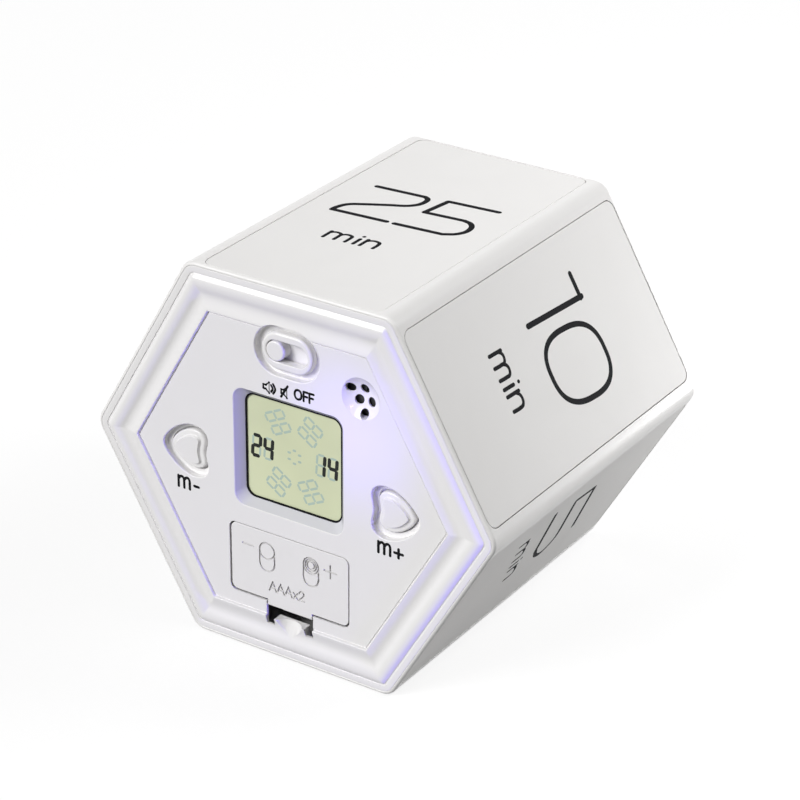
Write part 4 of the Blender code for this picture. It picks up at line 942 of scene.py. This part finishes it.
letters = {  # strokes from each letter's lower left corner, one high
    "A": [line((0, 0), (0.4, 1)), line((0.4, 1), (0.8, 0)), line((0.15, 0.36), (0.65, 0.36))],
    "x": [line((0, 0), (0.48, 0.62)), line((0, 0.62), (0.48, 0))],
    "2": [bend((0.03, 0.75), (0.28, 1), (0.58, 0.76), (0.42, 0.44), (0, 0)), line((0, 0), (0.62, 0))],
    "O": [oval(0.4, 0.5, 0.4, 0.5, 2.2, 16)],
    "F": [line((0, 0), (0, 1)), line((0, 1), (0.5, 1)), line((0, 0.52), (0.42, 0.52))],
    "m": [
        line((0, 0), (0, 1)),
        bend((0, 0.72), (0.2, 0.95), (0.42, 0.98), (0.56, 0.75), (0.57, 0.5), (0.57, 0)),
        bend((0.57, 0.72), (0.77, 0.95), (0.99, 0.98), (1.13, 0.75), (1.14, 0.5), (1.14, 0))],
    "-": [line((0, 0.45), (0.42, 0.45))],
    "+": [line((0, 0.45), (0.8, 0.45)), line((0.4, 0.05), (0.4, 0.85))],
}


def written(text, across, up, tall):
    # a list of letters and their places from the first, in units of their height
    lines = []
    for letter, start in text:
        lines += placed(letters[letter], across + start * tall, up, tall, tall)
    return lines


def addBlocks(piece, name, x, width, spans):
    # plain blocks joined to a piece, each given by its bottom, top, near and far
    for bottom, top, near, far in spans:
        cut(piece, roundedBlock(name, x, (bottom + top) / 2, width, top - bottom, 0, near, far), "UNION")


def doorMarks():
    # minus, plus, the two cells and their kind
    minus = [line((-9.5, -14.4), (-7.3, -14.4))]
    plus = [line((7.1, -14.4), (9.5, -14.4)), line((8.3, -15.6), (8.3, -13.2))]
    kind = written((("A", 0), ("A", 0.92), ("A", 1.84), ("x", 2.82), ("2", 3.45)), -4.1, -21.85, 1.75)
    return minus + plus + cellIcon(-4.5, False) + cellIcon(4.4, True) + kind


def batteryDoor():
    # a door with a fingertip tab, latch hooks and two lugs, and its marks sunk into its face
    look = sized(corner=1.1, rim=0.1, tabHalf=4.5, tabFoot=-24.8, groove=0.19, grooveSet=0.08,
                 grooveLeast=0.01, hookHalf=3, hookTop=-22.65, hookThick=0.9, hookSet=0.3, lugHalf=1.5,
                 lugX=7.8, lugThick=1, lugRoot=1.5, lugSet=0.4, lugSunk=0.5)
    low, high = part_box("battery_door")
    top = high.z - middleZ - doorGap["lug"]
    foot = latchSlot["top"]
    back = high.y - frontY
    door = roundedBlock(
        "door", 0, (top + foot) / 2, high.x - low.x, top - foot, look["corner"], panelSet, panelBack,
        segments=8)
    addBlocks(door, "doorTab", 0, 2 * look["tabHalf"], [
        (look["tabFoot"], foot + look["corner"], panelSet, panelBack)])
    softEdges(door, look["rim"])
    addBlocks(door, "doorHook", 0, 2 * look["hookHalf"], [
        (look["tabFoot"] + look["hookSet"], look["hookTop"], panelBack - look["hookSet"], back),
        (low.z - middleZ, look["hookTop"], back - look["hookThick"], back)])
    root, near = top - look["lugRoot"], panelBack + seatGap
    for side in (-1, 1):
        addBlocks(door, "doorLug", side * look["lugX"], 2 * look["lugHalf"], [
            (root, top - look["lugSet"], panelBack - look["lugSunk"], near + look["lugThick"]),
            (root, top + doorGap["lug"], near, near + look["lugThick"])])
    groove = tubes("doorGrooves", doorMarks(), look["groove"])
    groove.data.transform(Matrix.Translation((0, panelSet + look["grooveSet"], 0)))
    carve(door, groove, crossing=True)
    finishPiece(door, doorPlastic, ["battery_door"], "door")

    def inGroove(middle, normal):
        across = abs(middle.x) < high.x - look["corner"]
        upright = foot + look["corner"] < middle.z < top - look["corner"]
        return across and upright and look["grooveLeast"] < middle.y - panelSet < 2 * look["groove"]

    # the faces in the engraved marks get the darker grey: painted shade in the grooves
    paintFaces(door, paintedGrooveShade, inGroove)


batteryDoor()
print("door made")


def panelPrint():
    # sound icons and OFF over the display, and the two buttons' letters
    look = sized(fine=0.21, bold=0.26, rise=0.012)
    spots = {"loud": (-4.7, 15.25), "mute": (-1.15, 15.3, 0.95), "off": (1.5, 15.7, 1.65),
             "minus": (-22.66, -7.62, 2.05), "plus": (17.75, -7.55, 2)}
    speaker = line((0, 0.6), (0.5, 0.6), (1.15, 0), (1.15, 1.9), (0.5, 1.3), (0, 1.3), (0, 0.6))
    waves = [bend((1.55, 0.35), (1.85, 0.95), (1.55, 1.5)), bend((1.95, 0.1), (2.35, 0.95), (1.95, 1.8))]
    icons = placed([speaker] + waves, *spots["loud"])
    icons += placed([speaker, line((-0.05, -0.05), (1.35, 2.15))], *spots["mute"])
    icons += written((("O", 0), ("F", 1.06), ("F", 1.75)), *spots["off"])
    words = written((("m", 0), ("-", 1.62)), *spots["minus"])
    words += written((("m", 0), ("+", 1.55)), *spots["plus"])
    for name, lines, radius in (("iconPrint", icons, look["fine"]), ("letterPrint", words, look["bold"])):
        finishPiece(inked(name, lines, radius, look["rise"], panelSet), printInk)


panelPrint()


def displayStack():
    # the glass of the liquid crystal panel, and a black ring round it behind the window's edge: painted
    # shadow along the gap
    look = sized(gasket=0.27, gasketThick=0.3, past=1.2, outerCorner=1, innerCorner=1.7)
    low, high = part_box("lcd_panel")
    glass = roundedBlock(
        "displayGlass", 0, (low.z + high.z) / 2 - middleZ, high.x - low.x, high.z - low.z, 0, low.y - frontY,
        high.y - frontY)
    finishPiece(glass, displayGlass, ["lcd_panel"])
    outer = display["throat"] + look["past"]
    inner = display["throat"] - 2 * look["gasket"]
    foot = panelBack + look["gasketThick"]
    gasket = roundedBlock(
        "displayGasket", 0, display["z"], outer, outer, look["outerCorner"], panelBack, foot,
        segments=8)
    window = roundedBlock(
        "gasketWindow", 0, display["z"], inner, inner, look["innerCorner"], panelBack - poke, foot + poke,
        segments=8)
    cut(gasket, window)
    # the ring is black ink: a painted shadow line round the glass
    finishPiece(gasket, printInk)


displayStack()


def displaySegments():
    # two lit readings on the glass, and the four that are off, one towards each side
    look = {"lit": 0.34 * mm, "off": 0.21 * mm, "rise": 0.006 * mm, "ring": 6.4, "wide": 1.5, "tall": 3.8,
            "pitch": 2.4, "gap": 0.34, "lean": 0.07, "dots": 1.2, "dotHalf": 0.15}
    readings = (  # which way each lies from the middle, how it is turned, and its two digits
        (0, 0, "14"), (60, 60, "  "), (120, -60, "  "), (180, 0, "24"), (240, 60, "  "), (300, 120, "  "))
    half, rise, gap = look["wide"] / 2, look["tall"] / 2, look["gap"]
    flat, steep = half - gap, rise - gap
    segments = {
        "top": [(-flat, rise), (flat, rise)],
        "middle": [(-flat, 0), (flat, 0)],
        "bottom": [(-flat, -rise), (flat, -rise)],
        "upperLeft": [(-half, gap), (-half, steep)],
        "upperRight": [(half, gap), (half, steep)],
        "lowerLeft": [(-half, -steep), (-half, -gap)],
        "lowerRight": [(half, -steep), (half, -gap)],
    }
    lights = {
        "1": ("upperRight", "lowerRight"),
        "2": ("top", "upperRight", "middle", "lowerLeft", "bottom"),
        "4": ("upperLeft", "middle", "upperRight", "lowerRight"),
        " ": (),
    }
    middle = display["z"] / mm
    lit, off = [], []
    for direction, tilt, reading in readings:
        angle, tilt = math.radians(direction), math.radians(tilt)
        for place, digit in enumerate(reading):
            for segment, ends in segments.items():
                spots = []
                for x, z in ends:
                    x += look["pitch"] * (place - 0.5) + z * look["lean"]
                    spots.append((
                        look["ring"] * math.cos(angle) + x * math.cos(tilt) - z * math.sin(tilt),
                        look["ring"] * math.sin(angle) + x * math.sin(tilt) + z * math.cos(tilt) + middle))
                (lit if segment in lights[digit] else off).append(line(*spots))
    for dot in range(6):
        angle = math.radians(30 + 60 * dot)
        x, z = look["dots"] * math.cos(angle), look["dots"] * math.sin(angle) + middle
        off.append(line((x - look["dotHalf"], z), (x + look["dotHalf"], z)))
    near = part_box("lcd_panel")[0].y - frontY
    finishPiece(inked("litSegments", lit, look["lit"], look["rise"], near), segmentInk)
    finishPiece(inked("offSegments", off, look["off"], look["rise"], near), ghostInk)


displaySegments()
print("display made")


def rearCover():
    # the rear plate with rounded edges and sunk seats for its screws
    look = sized(edge=0.3, screwX=14.6, screwZ=28, seat=2.2, hole=1.3, deep=1.3)
    low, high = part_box("rear_cover")
    near, far = low.y - frontY, high.y - frontY
    across = (high.z - low.z) / 2
    edge, inside = look["edge"], look["edge"] * roundShare
    profile = [(across, near), (across, far - edge), (across - inside, far - inside), (across - edge, far)]
    cover = ringedSolid("rearCover", profile, edges)
    for radius, deep in ((look["seat"], look["deep"]), (look["hole"], 2 * poke)):
        holes = []
        for x in (-look["screwX"], look["screwX"]):
            for z in (-look["screwZ"], look["screwZ"]):
                holes.append(roundPeg("rearHole", x, z, radius, far - deep, far + poke, sides=48))
        cut(cover, join(holes, "rearHoles"))
    finishPiece(cover, shellPlastic, ["rear_cover"])


rearCover()
print("rear cover made")

innerLooks = (  # the first row with a word that the CAD node's name holds decides its material
    (innerPlastic, ("lcd_holder", "battery_box", "switch_lever")), (redSleeve, ("lead_red",)),
    (tinnedMetal, ("slide_switch_body", "crystal")), (blackSleeve, ("lead_black",)),
    (boardLaminate, ("main_pcb",)), (screwSteel, ("screw",)), (contactRubber, ("zebra",)),
    (cellJacket, ("cell",)), (contactNickel, ("tact_body", "spring", "contact")), (chipBody, ("",)))
for label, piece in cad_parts.items():
    piece.data.materials.clear()
    piece.data.materials.append(next(
        material for material, words in innerLooks if any(word in label for word in words)))


# floor, lamps and camera

def seenByCamera(tree, otherwise, value):
    # one level for the camera, mirrors and glass, and another for light that bounces
    path = node(tree, "LightPath")
    seen = reckon(tree, "ADD", (path, "Is Camera Ray"), (path, "Is Glossy Ray"))
    seenToo = reckon(tree, "ADD", (seen, 0), (path, "Is Transmission Ray"))
    seenToo.use_clamp = True
    level = node(tree, "MapRange", {"To Min": otherwise, "To Max": value})
    wire(tree, (seenToo, 0, level, "Value"))
    return level


def studioFloor():
    look = {"size": 12, "below": 0.05 * mm, "pale": (0.24, 0.24, 0.24, 1), "dark": (0.22, 0.22, 0.22, 1),
            "cloud": 3, "seen": 0.79}
    material, tree, shader = newMaterial(
        "studioFloor", {"Emission Color": (1, 1, 1, 1), "Roughness": 0.9, "Specular IOR Level": 0.1})
    cloud = node(tree, "TexNoise", {"Scale": look["cloud"]})
    mix = node(tree, "Mix", {"A": look["pale"], "B": look["dark"]}, data_type="RGBA")
    level = seenByCamera(tree, 0, look["seen"])
    wire(
        tree, (cloud, "Fac", mix, "Factor"), (mix, "Result", shader, "Base Color"),
        (level, "Result", shader, "Emission Strength"))
    nothingSelected()
    bpy.ops.mesh.primitive_plane_add(size=look["size"], location=(0, 0, -look["below"]))
    floor = bpy.context.object
    floor.name = "studioFloor"
    floor.data.materials.append(material)


def studioWorld():
    look = {"bounced": 0.14, "seen": 1}
    world = bpy.data.worlds.new("studio")
    bpy.context.scene.world = world
    world.use_nodes = True
    sky = world.node_tree.nodes["Background"]
    sky.inputs["Color"].default_value = (1, 1, 1, 1)
    level = seenByCamera(world.node_tree, look["bounced"], look["seen"])
    wire(world.node_tree, (level, "Result", sky, "Strength"))


def addLamp(name, kind, place, target, power, settings):
    nothingSelected()
    bpy.ops.object.light_add(type=kind, location=place)
    lamp = bpy.context.object
    lamp.name = name
    lamp.data.energy = power
    setAll(lamp.data, settings)
    aim = Vector(target) - Vector(place)
    lamp.rotation_euler = aim.to_track_quat("-Z", "Y").to_euler()
    return lamp


def studioLamps():
    # white lamps for the whole timer; a weak violet one that grazes the front alone, and a soft violet spot
    centre = (0, 0, middleZ)
    violet = (0.2, 0.12, 1)
    lamps = {  # kind, place, target, power, and the rest
        "lampKey": ("SUN", (-0.36, -0.76, 0.52), centre, 3, {"angle": math.radians(35)}),
        "lampSide": ("AREA", (0.24, 0.15, 0.3), centre, 0.8, {"size": 0.15}),
        "lampLow": ("AREA", (0.1, 0.16, 0.02), (0.035, 0.02, 0.017), 0.17, {"size": 0.05}),
        "lampRear": ("SUN", (-0.62, 0.76, 0.12), centre, 1, {"angle": math.radians(40)}),
        "lampViolet": (
            "AREA", (0.3, frontY - 0.012, 0.01), (0, frontY, middleZ), 1.1,
            {"color": violet, "size": 0.04}),
        "spotViolet": (
            "SPOT", (0.05, frontY - 0.15, middleZ + 0.06), (0.0125, frontY, middleZ + 0.0125), 1.1,
            {"color": violet, "spot_size": math.radians(8), "spot_blend": 1, "shadow_soft_size": 0.01}),
    }
    frontPieces = bpy.data.collections.new("frontPieces")
    for name in ("frontMoulding", "button_minusCap", "button_plusCap", "knobPlate", "door"):
        frontPieces.objects.link(bpy.data.objects[name])
    for name, settings in lamps.items():
        lamp = addLamp(name, *settings)
        lamp.visible_camera = name not in ("lampSide", "lampLow")
        lamp.visible_glossy = name != "lampRear"
        if "Violet" in name:
            lamp.light_linking.receiver_collection = frontPieces


def photoCamera():
    # fitted to the photograph's straight edges
    look = {"place": (0.237494, -0.365399, 0.255895), "turn": (63.19156, -0.40203, 33.2167), "lens": 127.597,
            "sensor": 36, "near": 0.01}
    bpy.ops.object.camera_add(location=look["place"], rotation=[math.radians(turn) for turn in look["turn"]])
    camera = bpy.context.object
    camera.data.lens = look["lens"]
    camera.data.sensor_width = look["sensor"]
    camera.data.clip_start = look["near"]
    bpy.context.scene.camera = camera


studioFloor()
studioWorld()
studioLamps()
photoCamera()
bpy.context.scene.view_settings.view_transform = "Standard"
print("floor, lamps and camera made")
